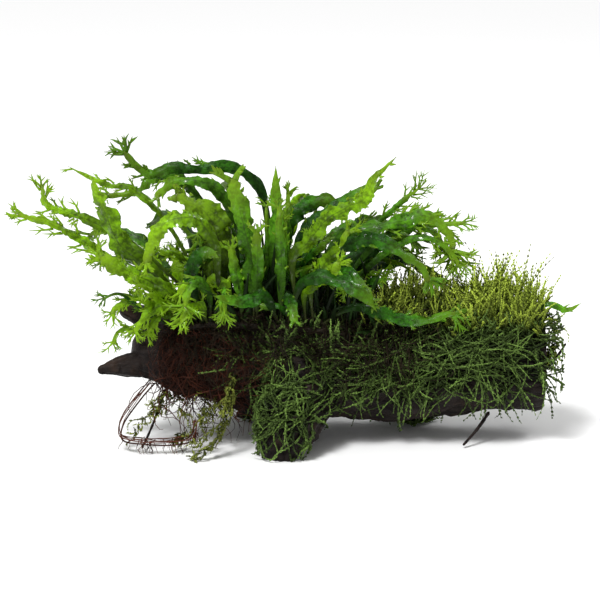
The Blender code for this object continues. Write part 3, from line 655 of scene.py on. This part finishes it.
def frond_shape(route, width, facing, tip, lace, seed, thickness, ragged):
    """A blade on a smooth midrib, the fingers of its crest and the slips along its edges."""
    rng = np.random.default_rng(seed)
    reach = np.linalg.norm(np.diff(np.array(route, dtype=float), axis=0), axis=1).sum()
    count, finger_length, spread = tip
    pointed = count < 2
    rows = int(reach * 0.9) + 8
    whole = smooth_route(route, FINE_ROWS)
    stop = (FINE_ROWS - 1) * (1 if pointed else 1 - 0.6 * finger_length / reach)
    centres = whole[np.linspace(0, int(stop), rows).astype(int)]
    strip, half, along, side, outward = blade(
        centres, width, facing, pointed, thickness, seed, rows, reach, ragged
    )
    line_sets, width_sets = [], []
    if not pointed:
        way, out, face = along[-1], side[-1], outward[-1]
        angles = np.radians(np.linspace(-spread, spread, count) + rng.uniform(-7, 7, count))
        lengths = finger_length * rng.uniform(0.7, 1.1, count)
        lengths = lengths * (1 - 0.2 * np.abs(angles) / math.radians(spread))
        starts = centres[-1] + out * (np.sin(angles) * half[-1] * 0.8)[:, None] - way * 1.0
        heads = way * np.cos(angles)[:, None] + out * np.sin(angles)[:, None]
        heads = unit(heads + face * rng.uniform(-0.4, 0.4, count)[:, None])
        bends = out * (np.sign(angles + 1e-6) * rng.uniform(-0.1, 0.35, count))[:, None]
        bends = bends + face * rng.uniform(-0.3, 0.3, count)[:, None]
        slim = min(max(0.13 * width, 0.5), 1.15) if count > 2 else 0.15 * width
        lines, widths = fingers(starts, heads, bends, lengths, slim, facing, rng, forks=3)
        line_sets.append(lines)
        width_sets.append(widths)
    slips, slip_length = lace
    row = (rng.uniform(0.35, 0.97, slips) * (rows - 1)).astype(int)
    sign = np.where(np.arange(slips) % 2 == 0, 1.0, -1.0)[:, None]
    starts = centres[row] + side[row] * (sign * half[row][:, None] * 0.75) - outward[row] * (
        0.2 * half[row])[:, None]
    heads = unit(side[row] * sign * 0.75 + along[row] * rng.uniform(0.4, 1.4, (slips, 1))
                 + outward[row] * rng.uniform(-0.4, 0.4, (slips, 1)))
    bends = along[row] * rng.uniform(-0.1, 0.4, (slips, 1)) + outward[row] * rng.uniform(-0.3, 0.3, (slips, 1))
    lengths = slip_length * rng.uniform(0.5, 1.15, slips)
    forks = 2 if slip_length > 4 else 0
    slim = 0.42 + 0.05 * width
    lines, widths = fingers(starts, heads, bends, lengths, slim, facing, rng, forks=forks)
    line_sets.append(lines)
    width_sets.append(widths)
    lines, widths = np.concatenate(line_sets), np.concatenate(width_sets)
    depth = np.minimum(0.34 * thickness, 0.6 * widths)
    points, quads, fans, places = tubes(lines, widths, depth, facing, 8, None, fold=0.15)
    places = places * np.array([1.0, 0.2]) + np.array([0.0, 0.8])
    return joined([strip, (points, quads, fans, places)])


def young_route(route, least, most, rng):
    """A shorter frond beside another: its route shrunk towards its foot, turned about the
    upright and moved a little along the stem."""
    rows = np.array(route, dtype=float)
    size = rng.uniform(least, most)
    turn = rng.choice([-1, 1]) * rng.uniform(0.35, 1.1)
    foot = rows[0] + np.array([rng.uniform(-15, 15), rng.uniform(-2.5, 2.5), -0.5])
    away = (rows - rows[0]) * np.array([size, size, size * rng.uniform(0.8, 1.15)])
    c, s = math.cos(turn), math.sin(turn)
    away = np.stack([away[:, 0] * c - away[:, 1] * s, away[:, 0] * s + away[:, 1] * c, away[:, 2]], axis=-1)
    return foot + away


# ---------------------------------------------------------------- moss and roots


def moss_shape(lines, leaflet, rng, nodes=9, stem=0.42, opening=(0.12, 0.36), old_share=1.7):
    """Moss shoots on batches of centre lines: a thin stem, and pairs of pointed leaflets.

    A leaflet is four points: its foot on the stem, its tip, and two sides set a little
    back and raised, so that it is a closed sliver.
    """
    batch, rows = lines.shape[:2]
    shade = rng.uniform(0, 1, batch) ** old_share
    t = np.linspace(0, 1, rows)
    radius = stem * (1.1 - 0.8 * t)[None] * np.ones((batch, 1))
    facing = unit(rng.normal(size=3) + np.array([0.2, -0.5, 0.6]))
    stems = tubes(lines, radius, radius, facing, 3, shade)
    along, side, outward = frames(lines, facing)
    share = np.linspace(0.08, 0.97, nodes)
    at = share * (rows - 1)
    i = np.minimum(at.astype(int), rows - 2)
    f = (at - i)[None, :, None]
    foot = lines[:, i] * (1 - f) + lines[:, i + 1] * f
    along, side, outward = along[:, i], side[:, i], outward[:, i]
    grown = leaflet * (0.55 + 0.6 * np.sin(math.pi * np.clip(share * 0.92 + 0.08, 0, 1)) ** 0.7)
    parts_points, parts_places = [], []
    for sign in (1.0, -1.0):
        roll = rng.uniform(-1.3, 1.3, (batch, nodes))[..., None]
        across = side * np.cos(roll) * sign + outward * np.sin(roll)
        lift = np.cross(along, across)
        angle = rng.uniform(*opening, (batch, nodes))[..., None]
        head = along * np.cos(angle) + across * np.sin(angle)
        length = (grown[None, :] * rng.uniform(0.75, 1.2, (batch, nodes)))[..., None]
        wide = 0.22 * length
        cross = np.cross(head, lift)
        tip = foot + head * length
        left = foot + head * length * 0.42 + cross * wide + lift * wide * 0.5
        right = foot + head * length * 0.42 - cross * wide + lift * wide * 0.5
        parts_points.append(np.stack([foot, tip, left, right], axis=2))
        place_v = np.clip(share[None, :, None] * 0.75 + np.array([0.0, 0.25, 0.12, 0.12]), 0, 1)
        place_v = np.broadcast_to(place_v, (batch, nodes, 4))
        place_u = np.broadcast_to(shade[:, None, None], (batch, nodes, 4))
        parts_places.append(np.stack([place_u, place_v], axis=-1))
    points = np.concatenate([p.reshape(-1, 3) for p in parts_points])
    places = np.concatenate([p.reshape(-1, 2) for p in parts_places])
    base = (np.arange(len(points) // 4) * 4)[:, None, None]
    pattern = np.array([[0, 2, 1], [0, 1, 3], [0, 3, 2], [1, 2, 3]])
    slivers = (pattern[None] + base).reshape(-1, 3)
    return joined([stems, (points, np.zeros((0, 4), int), slivers, places)])


def above_floor(points, least=1.6):
    """Points with none lower than a little above the floor."""
    return np.maximum(points, np.array([-1e9, -1e9, least]))


def creeping_lines(bark, reach, turn, count, length, rise, rng, heading=None, bend=0.45):
    """Shoot lines that creep on bark: share and turn change evenly from a random start, and
    the lift above the bark rises with the square of the way along."""
    share = rng.uniform(*reach, count)
    angle = np.radians(rng.uniform(*turn, count))
    way = rng.normal(0.0, 0.75, count) if heading is None else rng.normal(heading[0], heading[1], count)
    way = way + np.where(rng.uniform(size=count) < 0.5, math.pi, 0.0)
    size = length * rng.uniform(0.6, 1.25, count)
    t = np.linspace(0, 1, SHOOT_ROWS)[None]
    radius = bark.read(bark.radius, share)
    curl = rng.normal(0, bend, count)[:, None] * t
    d_share = (np.cos(way[:, None] + curl) * size[:, None] / bark.length) * t
    d_turn = (np.sin(way[:, None] + curl) * size[:, None] / np.maximum(radius, 6)[:, None]) * t
    lift = rise * rng.uniform(0.3, 1.15, count)[:, None] * t**1.6 + rng.uniform(0.2, 1.6, count)[:, None]
    points = bark.point(np.clip(share[:, None] + d_share, 0.0, 1.0), angle[:, None] + d_turn, lift=lift)
    return above_floor(points)


def wandered(lines, size, rng):
    """Lines moved sideways by sines of random phase that grow along the way, so that they tangle."""
    t = np.linspace(0, 1, lines.shape[1])[None, :, None]
    phase = rng.uniform(0, 6.28, (len(lines), 1, 3))
    turns = rng.uniform(5, 12, (len(lines), 1, 3))
    return lines + size * (np.sin(turns * t + phase) - np.sin(phase)) * np.minimum(1, 3 * t)


def upright_lines(bark, reach, turn, count, length, rng, spread=0.34):
    """Shoot lines that stand up: foot on the bark, heading blended from straight up and the
    bark's own direction, with a bend that grows with the square of the way along."""
    share = rng.uniform(*reach, count)
    angle = np.radians(rng.uniform(*turn, count))
    foot = bark.point(share, angle)
    out = bark.direction(share, angle)
    head = unit(0.45 * out + UP + rng.normal(0, spread, (count, 3)))
    bend = rng.normal(0, 0.2, (count, 3)) + np.array([0, 0, -0.06])
    u = (share - reach[0]) / (reach[1] - reach[0])
    v = (np.degrees(angle) - turn[0]) / (turn[1] - turn[0])
    dome = 0.55 + 0.45 * np.sqrt(np.clip(4 * u * (1 - u), 0, 1)) * np.sqrt(np.clip(4 * v * (1 - v), 0, 1))
    size = length * (0.42 + 0.72 * rng.uniform(0, 1, count) ** 1.8) * dome
    t = np.linspace(0, 1, SHOOT_ROWS)[None, :, None]
    return foot[:, None] + size[:, None, None] * (head[:, None] * t + bend[:, None] * t**2)


def hair_lines(starts, heads, sizes, rng, rows=8, sag=0.5, wiggle=0.16):
    """Root hairs: straight on from the start, drooping with the square of the way along, with a
    sideways wander of sines of random phase."""
    count = len(starts)
    t = np.linspace(0, 1, rows)[None, :, None]
    phase = rng.uniform(0, 6.28, (count, 1, 3))
    turns = rng.uniform(3, 8, (count, 1, 3))
    wander = (np.sin(turns * t + phase) - np.sin(phase)) * wiggle
    drop = np.array([0.0, 0.0, -sag]) * t**2
    return starts[:, None] + sizes[:, None, None] * (heads[:, None] * t + wander + drop)


def felt(lines, radius, least, most, rng, old_share=1.0):
    """Three-sided hairs on the lines, each thinning towards its tip, with a random shade."""
    t = np.linspace(0, 1, SHOOT_ROWS)[None]
    thick = radius * rng.uniform(least, most, len(lines))[:, None] * (1.1 - 0.7 * t)
    return tubes(lines, thick, thick, (0.3, -0.5, 0.8), 3, rng.uniform(0, 1, len(lines)) ** old_share)


def rootlets(lines, radius, facing, shade):
    """Four-sided hanging hairs on the lines, each thinning towards its tip."""
    t = np.linspace(0, 1, lines.shape[1])[None]
    slim = radius * (1.2 - 0.7 * t) * np.ones((len(lines), 1))
    return tubes(lines, slim, slim, facing, 4, shade)


# ---------------------------------------------------------------- materials


class Sock:
    """A shader value that takes arithmetic: each operation adds a Math node."""

    def __init__(self, shader, socket):
        self.shader, self.socket = shader, socket

    def _math(self, operation, first, second):
        return self.shader.node("ShaderNodeMath", {"operation": operation}, [first, second])

    def __add__(self, other):
        return self._math("ADD", self, other)

    def __sub__(self, other):
        return self._math("SUBTRACT", self, other)

    def __mul__(self, other):
        return self._math("MULTIPLY", self, other)

    def __pow__(self, other):
        return self._math("POWER", self, other)

    def __rsub__(self, other):
        return self._math("SUBTRACT", other, self)

    __radd__, __rmul__ = __add__, __mul__

    def clamped(self):
        return self.shader.node("ShaderNodeClamp", {}, [self, 0.0, 1.0])


class Shader:
    """One material's nodes, built from a Principled shader."""

    def __init__(self, name, **constants):
        self.material = bpy.data.materials.new(name)
        self.material.use_nodes = True
        self.tree = self.material.node_tree
        self.principled = self.tree.nodes["Principled BSDF"]
        for label, value in constants.items():
            self.principled.inputs[label.replace("_", " ")].default_value = value

    def node(self, kind, settings, inputs, output=0):
        """Adds a node, sets its settings, fills its sockets with values or links, and returns one output."""
        made = self.tree.nodes.new(kind)
        for label, value in settings.items():
            if label == "stops":
                ramp = made.color_ramp
                while len(ramp.elements) < len(value):
                    ramp.elements.new(0.5)
                for element, (place, colour) in zip(ramp.elements, value):
                    element.position, element.color = place, colour
            else:
                setattr(made, label, value)
        for key, value in enumerate(inputs) if isinstance(inputs, list) else inputs.items():
            if value is None:
                continue
            socket = made.inputs[key]
            if isinstance(value, Sock):
                self.tree.links.new(value.socket, socket)
            else:
                socket.default_value = value
        return Sock(self, made.outputs[output])

    def place(self, stretch=(1.0, 1.0, 1.0)):
        """Object coordinates, stretched."""
        at = self.node("ShaderNodeTexCoord", {}, [], output="Object")
        return self.node("ShaderNodeMapping", {}, {"Vector": at, "Scale": stretch})

    def noise(self, at, scale, detail=4.0, distortion=0.0):
        """Uneven grey: scale is bumps to the metre, detail how many finer layers it has."""
        return self.node(
            "ShaderNodeTexNoise", {},
            {"Vector": at, "Scale": scale, "Detail": detail, "Roughness": 0.55, "Distortion": distortion},
        )

    def level(self, value, low, high):
        """The value carried from low..high to 0..1 and held there."""
        return self.node(
            "ShaderNodeMapRange", {"clamp": True}, {"Value": value, "From Min": low, "From Max": high}
        )

    def mix(self, factor, first, second):
        """A blend of two colours."""
        first, second = ((*c, 1.0) if isinstance(c, tuple) else c for c in (first, second))
        return self.node(
            "ShaderNodeMix", {"data_type": "RGBA"}, {0: factor, 6: first, 7: second}, output=2
        )

    def bump(self, height, strength, distance):
        return self.node("ShaderNodeBump", {}, {"Strength": strength, "Distance": distance, "Height": height})

    def parts(self, vector):
        """The three numbers of a vector."""
        first = self.node("ShaderNodeSeparateXYZ", {}, [vector])
        return [Sock(self, outlet) for outlet in first.socket.node.outputs]

    def on_map(self, name):
        """The two places on a named map."""
        return self.parts(self.node("ShaderNodeUVMap", {"uv_map": name}, []))[:2]

    def drive(self, **links):
        for label, value in links.items():
            self.tree.links.new(value.socket, self.principled.inputs[label.replace("_", " ")])
        return self.material


def wood_material(settings):
    s = Shader("wet driftwood", Coat_Roughness=0.22, Specular_IOR_Level=0.14)
    grain = s.noise(s.place((30, 260, 260)), 1.0, detail=6, distortion=0.8)
    broad = s.noise(s.place(), 46, detail=5)
    fine = s.noise(s.place(), 900, detail=4)
    worn = s.level(grain * 0.6 + broad * 0.5, 0.42, 0.72)
    colour = s.mix(worn, tuple(settings.dark), tuple(settings.light))
    rust = s.level(s.noise(s.place(), 70, detail=3), 0.56, 0.72) * 0.5
    colour = s.mix(rust, colour, RUST)
    x, y, z = s.parts(s.node("ShaderNodeTexCoord", {}, [], output="Object"))
    off_y, off_z = y - (TRUNK[0][1] - ORIGIN[1]) * MM, z - TRUNK[0][2] * MM
    away = (off_y * off_y + off_z * off_z) ** 0.5
    year = s.node("ShaderNodeMath", {"operation": "SINE"}, [away * RING_TURNS_PER_METRE + broad * 14.0])
    sawn_x = (SAWN_END_X - ORIGIN[0]) * MM
    sawn = s.level(x, sawn_x - 0.6 * MM, sawn_x - 0.1 * MM)
    ring = s.level(year, -0.2, 0.9) * s.level(fine, 0.3, 0.6)
    colour = s.mix(sawn * (ring * 0.6 + 0.12), colour, tuple(settings.sawn))
    return s.drive(
        Base_Color=colour,
        Roughness=s.level(fine * 0.6 + broad * 0.4, 0.3, 0.75) * 0.34 + 0.4,
        Coat_Weight=s.level(broad, 0.5, 0.68) * 0.14,
        Normal=s.bump(grain * 0.8 + fine * 0.5, 0.75, 0.0013),
    )


def leaf_material(name, colour, settings, gloss, tip_share):
    s = Shader(name, Coat_Roughness=0.07, Specular_IOR_Level=0.11)
    across, along = s.on_map("leaf")
    colour = tuple(colour)
    deep = tuple(0.34 * c for c in colour)
    pale = tuple(1.75 * c for c in colour)
    blotch = s.noise(s.place(), 190, detail=5)
    fine = s.noise(s.place(), 1500, detail=3)
    off_rib = s.node("ShaderNodeMath", {"operation": "ABSOLUTE"}, [across - 0.5])
    mottle = s.noise(s.place(), 520, detail=4)
    tone = s.mix(s.level(blotch * 0.55 + mottle * 0.45, 0.41, 0.6), deep, pale)
    drift = s.level(s.noise(s.place(), 44, detail=2), 0.42, 0.58)
    tone = s.mix((1 - drift) * 0.5, tone, deep)
    tone = s.mix(s.level(off_rib, 0.30, 0.5) * 0.4 * drift, tone, pale)
    tone = s.mix(s.level(along, 0.6, 1.0) * tip_share, tone, tuple(settings.tip))
    rib = (1 - s.level(off_rib, 0.012, 0.05)) * (1 - s.level(along, 0.55, 0.85))
    tone = s.mix(rib * 0.5, tone, tuple(settings.stalk))
    # Painted shade: each frond darkens towards its foot, where the fronds above shade it.
    painted_base_shade = 1 - s.level(along, 0.12, 0.62)
    tone = s.mix(painted_base_shade * 0.85, tone, tuple(0.16 * c for c in colour))
    tone = s.mix(s.level(along, 0.955, 1.0) * 0.55, tone, WITHERED)
    stalk = 1 - s.level(along, 0.05, 0.16)
    tone = s.mix(stalk, tone, tuple(settings.stalk))
    return s.drive(
        Base_Color=tone,
        Roughness=s.level(mottle * 0.5 + fine * 0.5, 0.32, 0.68) * 0.3 + gloss,
        Coat_Weight=s.level(s.noise(s.place(), 300, detail=3), 0.57, 0.66) * 0.75,
        Normal=s.bump(fine * 0.35 + mottle * 0.8 + blotch * 0.6, 0.6, 0.0009),
    )


def moss_material(name, base, tip, start=0.0, full=0.75):
    s = Shader(name, Coat_Roughness=0.2, Specular_IOR_Level=0.15, Roughness=0.5)
    shade, along = s.on_map("OFBake")
    base, tip = tuple(base), tuple(tip)
    older = tuple(0.17 * c for c in tip)
    grown = s.mix(s.level(shade, 0.0, 1.0), older, tip)
    return s.drive(Base_Color=s.mix(s.level(along, start, full), base, grown))


def root_material(name, dark, light):
    s = Shader(name, Coat_Roughness=0.25, Specular_IOR_Level=0.15, Roughness=0.55)
    shade, along = s.on_map("OFBake")
    return s.drive(Base_Color=s.mix((shade * 0.8 + along * 0.2).clamped(), tuple(dark), tuple(light)))


def bark_material(name, dark, light):
    s = Shader(name, Specular_IOR_Level=0.16)
    coarse = s.noise(s.place(), 420, detail=5)
    return s.drive(
        Base_Color=s.mix(s.level(coarse, 0.35, 0.65), dark, light),
        Roughness=coarse * 0.3 + 0.35,
        Normal=s.bump(coarse, 0.8, 0.0012),
    )


# ---------------------------------------------------------------- operators


class FERN_OT_driftwood(bpy.types.Operator):
    """Skins the log and its forks with knots, grooves and cracks"""

    bl_idname = "fern.driftwood"
    bl_label = "Driftwood"

    def execute(self, context):
        settings = context.scene.fern_wood
        material = wood_material(settings)
        for node, (route, first, last, rows, around, flat_first, flat_last, top) in SKINS.items():
            bark = Bark(route, settings)
            if first is None:
                shares = np.linspace(0, 1, len(bark.axis))
                first = float(np.interp(-SAWN_END_X, -bark.axis[:, 0], shares))
            shape = wood_skin(bark, first, last, rows, around, flat_first, flat_last, top=top)
            add_piece("skin_" + node, shape, material, [node])
        return {"FINISHED"}


class FERN_OT_rhizomes(bpy.types.Operator):
    """Lays the creeping stems that the fronds grow from, and the loose twigs"""

    bl_idname = "fern.rhizomes"
    bl_label = "Rhizomes and twigs"

    def execute(self, context):
        rhizome = bark_material("scaly rhizome", *RHIZOME_SCALES)
        twig = bark_material("wet twig", *TWIG_BARK)
        stems = [(name, route, rhizome, "rhizome_brown", 0.75) for name, route in RHIZOMES.items()]
        stems += [(name, route, twig, "twig_dark", 0.62) for name, route in TWIGS.items()]
        t = np.linspace(0, 1, 90)
        for seed, (name, route, material, slot, slim) in enumerate(stems):
            line = smooth_route(route, len(t))
            scales = 0.16 * noise3(t * 30, seed, 0.0, 2) + 0.08 * noise3(t * 90, seed, 0.0, 3)
            ends = np.minimum(1, 0.35 + np.sin(t * math.pi) * 6)
            radius = (line[:, 3] * (1 + scales) * ends * slim)[None]
            shape = tubes(line[None, :, :3], radius, radius, (0.1, -0.6, 0.8), 16, None)
            add_piece("stem_" + name, shape, material, [name])
        return {"FINISHED"}


class FERN_OT_fronds(bpy.types.Operator):
    """Grows the fern's fronds, each with a wavy blade and a lacy tip"""

    bl_idname = "fern.fronds"
    bl_label = "Fronds"

    def execute(self, context):
        settings = context.scene.fern_leaf
        looks = {
            # Young fronds: their own lighter green and a painted glow of light through the leaf.
            "bright": leaf_material("young frond with painted glow", settings.bright, settings, 0.26, 0.75),
            "mid": leaf_material("green frond", settings.mid, settings, 0.24, 0.75),
            "dark": leaf_material("old frond", settings.dark, settings, 0.16, 0.4),
            "brown": leaf_material("spotted frond", settings.brown, settings, 0.26, 0.5),
        }
        thickness = settings.thickness / MM
        for seed, (name, (tone, width, facing, tip, lace, route)) in enumerate(FRONDS.items()):
            rng = np.random.default_rng(TURN_SEED + seed)
            habit = (thickness, RAGGED[tone])
            shapes = [frond_shape(route, width, facing, tip, lace, FROND_SEED + seed, *habit)]
            for own, (slim, fork, line) in enumerate(BESIDE.get(name, ()), BESIDE_SEED + 9 * seed):
                shapes.append(frond_shape(line, slim, facing, fork, BESIDE_LACE, own, *habit))
            count, least, most, slim, fork, slips = YOUNG[tone]
            if route[0][1] < FRONT_FEET_Y and tone == "dark":
                count = 1
            for k in range(0 if name in ALONE else count):
                line = young_route(route, least, most, rng)
                narrow = width * slim * rng.uniform(0.8, 1.2)
                shapes.append(frond_shape(line, narrow, facing, fork, slips, YOUNG_SEED + 7 * seed + k, *habit))
            add_piece("leaf_" + name, joined(shapes), looks[tone], ["frond_" + name],
                      map_name="leaf")
        return {"FINISHED"}


class FERN_OT_moss(bpy.types.Operator):
    """Grows upright moss on the log's top and creeping moss on its sides and foot"""

    bl_idname = "fern.moss"
    bl_label = "Moss"

    def execute(self, context):
        wood, settings = context.scene.fern_wood, context.scene.fern_moss
        bright = moss_material("upright moss", settings.bright_base, settings.bright_tip, 0.2, 0.9)
        dark = moss_material("creeping moss", settings.dark_base, settings.dark_tip)
        trailing = moss_material("trailing moss", settings.dark_base, settings.trail_tip)
        leaflet = settings.leaflet / MM

        def grow(name, lines, material, slot, nodes, rng, **habit):
            shape = moss_shape(lines, leaflet, rng, nodes=nodes, **habit)
            add_piece("moss_" + name, shape, material, ["moss_" + name])

        def creep(rng, route, reach, turn, count, length, rise):
            return creeping_lines(Bark(route, wood), reach, turn, thinned(count), length, rise, rng)

        for seed, (name, (*bed, standing)) in enumerate(MOSS_BEDS.items()):
            rng = np.random.default_rng(BED_SEED + seed)
            sets = [creep(rng, *bed)]
            if standing:
                route, reach, turn = bed[:3]
                above = (turn[0] - 6, turn[0] + 32)
                count = thinned(standing)
                sets.append(upright_lines(Bark(route, wood), reach, above, count, STANDING_LENGTH, rng))
            if name == "back":
                sets += [creep(rng, *knuckle) for knuckle in KNUCKLE_BEDS]
            grow(name, np.concatenate(sets), dark, "moss_dark", 13, rng)
        trunk = Bark(TRUNK, wood)
        for seed, (name, (reach, turn, count, length, old_share)) in enumerate(MOSS_TUFTS.items()):
            rng = np.random.default_rng(TUFT_SEED + seed)
            lines = upright_lines(trunk, reach, turn, thinned(count), length, rng)
            grow(name, lines, bright, "moss_bright", 16, rng, opening=(0.1, 0.32), stem=0.36, old_share=old_share)
        trails = (
            ("trailer", [MOSS_TRAILER, *MOSS_WISPS], trailing, "moss_dark"),
            ("end_stem", [MOSS_END_STEM], bright, "moss_bright"),
        )
        for seed, (name, routes, material, slot) in enumerate(trails):
            rng = np.random.default_rng(TRAIL_SEED + seed)
            sets = []
            for k, route in enumerate(routes):
                line = smooth_route(route, 60)
                count = TRAIL_SHOOTS if k == 0 else WISP_SHOOTS
                at = rng.integers(0, 56, count)
                heads = unit(np.gradient(line, axis=0)[at] + rng.normal(0, 0.16, (count, 3)))
                sets.append(hair_lines(line[at], heads, rng.uniform(5, 10, count), rng, sag=0.1))
            grow(name, above_floor(np.concatenate(sets)), material, slot, 9, rng, stem=0.26, old_share=0.8)
        return {"FINISHED"}


class FERN_OT_roots(bpy.types.Operator):
    """Felts the log's left front with root hairs and hangs the trailing roots under it"""

    bl_idname = "fern.roots"
    bl_label = "Roots"

    def execute(self, context):
        wood, settings = context.scene.fern_wood, context.scene.fern_root
        trunk = Bark(TRUNK, wood)
        hairs = root_material("root hairs", settings.dark, settings.light)
        peat = root_material("crown felt", settings.peat_dark, settings.peat_light)
        stalk = root_material("old stalks", settings.stalk_dark, settings.stalk_light)
        radius = settings.radius / MM
        rng = np.random.default_rng(ROOT_SEED)

        lines = creeping_lines(
            trunk, (0.735, 0.9), (40, 124), thinned(640), 21, 3.5, rng, heading=(0.8, 1.6), bend=2.2
        )
        mat = felt(above_floor(wandered(lines, 1.3, rng)), radius, 0.6, 1.5, rng, old_share=2.4)
        count = thinned(80)
        hung = trunk.point(rng.uniform(0.72, 0.93, count), np.radians(rng.uniform(100, 160, count)))
        heads = unit(np.array([-0.1, -0.25, -0.8]) + rng.normal(0, 0.4, (count, 3)))
        strands = hair_lines(hung, heads, rng.uniform(7, 24, count), rng, rows=9, sag=0.25, wiggle=0.2)
        strands = above_floor(strands, 0.5)
        hanging = rootlets(strands, 0.26, (0.3, -0.9, 0.1), rng.uniform(0, 0.7, count))
        add_piece("felt_root_mat", joined([mat, hanging]), hairs, ["root_mat"])

        lines = creeping_lines(
            trunk, (0.36, 0.87), (-62, 64), thinned(2500), 22, 13.0, rng, heading=(0.0, 0.8), bend=0.9
        )
        crown = felt(wandered(lines, 1.2, rng), radius, 0.8, 1.9, rng)
        add_piece("felt_crown", crown, peat, [])

        lines = upright_lines(trunk, (0.44, 0.86), (-48, 46), thinned(380), 40, rng, spread=0.3)
        t = np.linspace(0, 1, SHOOT_ROWS)[None]
        wide = rng.uniform(0.5, 1.7, len(lines))[:, None] * np.sin(math.pi * np.minimum(1, 0.25 + 0.72 * t))
        shade = rng.uniform(0, 1, len(lines)) ** 1.5
        stubs = tubes(lines, wide, 0.25 + 0.1 * wide, (0.1, -0.8, 0.4), 6, shade)
        add_piece("stalks_old", stubs, stalk, [])

        line = smooth_route(ROOT_LOOP, 120)
        bend, half = line[:, :3], line[None, :, 3] * 0.5
        loop = tubes(bend[None], half, half, (0.2, 0.4, 0.8), 10, np.array([0.25]))
        low = bend[50:112]
        starts = low[rng.integers(0, len(low), COMB_HAIRS)] + 4.5 * UP * rng.uniform(0, 1, (COMB_HAIRS, 1))
        heads = np.array([0.0, -0.05, -0.5]) + rng.normal(0, 0.12, (COMB_HAIRS, 3))
        drops = hair_lines(starts, heads, rng.uniform(5, 10, COMB_HAIRS), rng, sag=0.3, wiggle=0.1)
        t = np.linspace(0, 9, len(bend))
        twins = above_floor(np.stack([
            bend + rng.normal(0, 1.2, 3) + lift * UP
            + 0.8 * np.stack([noise3(t, k, axis, 11) for axis in (0.0, 5.0, 9.0)], axis=-1)
            for k, lift in enumerate(TWIN_LIFTS)
        ]), 0.5)
        thin = 0.22 * np.ones(twins.shape[:2])
        fine = tubes(twins, thin, thin, (0.2, 0.4, 0.8), 5, rng.uniform(0.2, 0.9, len(twins)))
        comb = rootlets(above_floor(drops, 0.4), 0.2, (0.2, 0.9, 0.1), rng.uniform(0, 1, COMB_HAIRS))
        add_piece("roots_hanging", joined([loop, fine, comb]), hairs, ["root_loop"])
        return {"FINISHED"}


class FERN_OT_stage(bpy.types.Operator):
    """Sets the pale floor, the soft lights and the camera"""

    bl_idname = "fern.stage"
    bl_label = "Stage"

    def execute(self, context):
        scene, settings = context.scene, context.scene.fern_stage
        scene.view_settings.view_transform = "Standard"
        floor_look = Shader("pale floor", Roughness=0.85, Specular_IOR_Level=0.2)
        floor_look.principled.inputs["Base Color"].default_value = FLOOR_WHITE
        mesh = bpy.data.meshes.new("floor")
        corners = [(FLOOR_HALF * x, FLOOR_HALF * y, 0) for x, y in ((-1, -1), (1, -1), (1, 1), (-1, 1))]
        mesh.from_pydata(corners, [], [(0, 1, 2, 3)])
        mesh.materials.append(floor_look.material)
        floor = bpy.data.objects.new("floor", mesh)
        scene.collection.objects.link(floor)

        world = bpy.data.worlds.new("soft white room")
        world.use_nodes = True
        world.node_tree.nodes["Background"].inputs["Color"].default_value = (1.0, 1.0, 1.0, 1.0)
        world.node_tree.nodes["Background"].inputs["Strength"].default_value = settings.sky
        scene.world = world
        for name, (kind, place, size, power) in LIGHTS.items():
            light = bpy.data.lights.new(name, kind)
            if kind == "SUN":
                light.energy, light.angle = settings.overhead, math.radians(size)
            else:
                light.energy = power
                light.shape, light.size = "SQUARE", size
            lamp = bpy.data.objects.new(name, light)
            lamp.location = place
            lamp.rotation_euler = direction_euler(LIT_POINT - np.array(place))
            scene.collection.objects.link(lamp)

        target = (VIEWED_POINT - ORIGIN) * MM
        lift = settings.elevation
        away = settings.distance * np.array([0.0, -math.cos(lift), math.sin(lift)])
        camera = bpy.data.cameras.new("camera")
        camera.sensor_fit = "HORIZONTAL"
        camera.angle = 2 * math.atan(0.5 * settings.frame_width / settings.distance)
        camera.clip_start, camera.clip_end = 0.01, 50.0
        eye = bpy.data.objects.new("camera", camera)
        eye.location = target + away
        eye.rotation_euler = direction_euler(-away)
        scene.collection.objects.link(eye)
        scene.camera = eye
        return {"FINISHED"}


def direction_euler(way):
    """Euler angles that turn an object's -Z axis to a direction, with no roll."""
    x, y, z = way / np.linalg.norm(way)
    return (math.acos(-z), 0.0, math.atan2(-x, y) if abs(x) + abs(y) > 1e-9 else 0.0)


class FERN_PT_panel(bpy.types.Panel):
    """Lists the pieces and their settings"""

    bl_idname = "FERN_PT_panel"
    bl_label = "Java Fern on Driftwood"
    bl_space_type = "VIEW_3D"
    bl_region_type = "UI"
    bl_category = "Fern"

    def draw(self, context):
        for operator, settings in BUILD_ORDER:
            box = self.layout.box()
            box.operator(operator.bl_idname)
            group = getattr(context.scene, settings)
            for label in group.__annotations__:
                box.prop(group, label)


BUILD_ORDER = (
    (FERN_OT_driftwood, "fern_wood"),
    (FERN_OT_rhizomes, "fern_wood"),
    (FERN_OT_fronds, "fern_leaf"),
    (FERN_OT_moss, "fern_moss"),
    (FERN_OT_roots, "fern_root"),
    (FERN_OT_stage, "fern_stage"),
)
SETTINGS = {
    "fern_wood": FernWoodSettings,
    "fern_leaf": FernLeafSettings,
    "fern_moss": FernMossSettings,
    "fern_root": FernRootSettings,
    "fern_stage": FernStageSettings,
}
CLASSES = (*SETTINGS.values(), *(operator for operator, _ in BUILD_ORDER), FERN_PT_panel)


def register():
    for cls in CLASSES:
        bpy.utils.register_class(cls)
    for name, cls in SETTINGS.items():
        setattr(bpy.types.Scene, name, bpy.props.PointerProperty(type=cls))


def unregister():
    for name in SETTINGS:
        delattr(bpy.types.Scene, name)
    for cls in reversed(CLASSES):
        bpy.utils.unregister_class(cls)


def main():
    register()
    for operator, _ in BUILD_ORDER:
        group, name = operator.bl_idname.split(".")
        getattr(getattr(bpy.ops, group), name)()


if __name__ == "__main__":
    main()
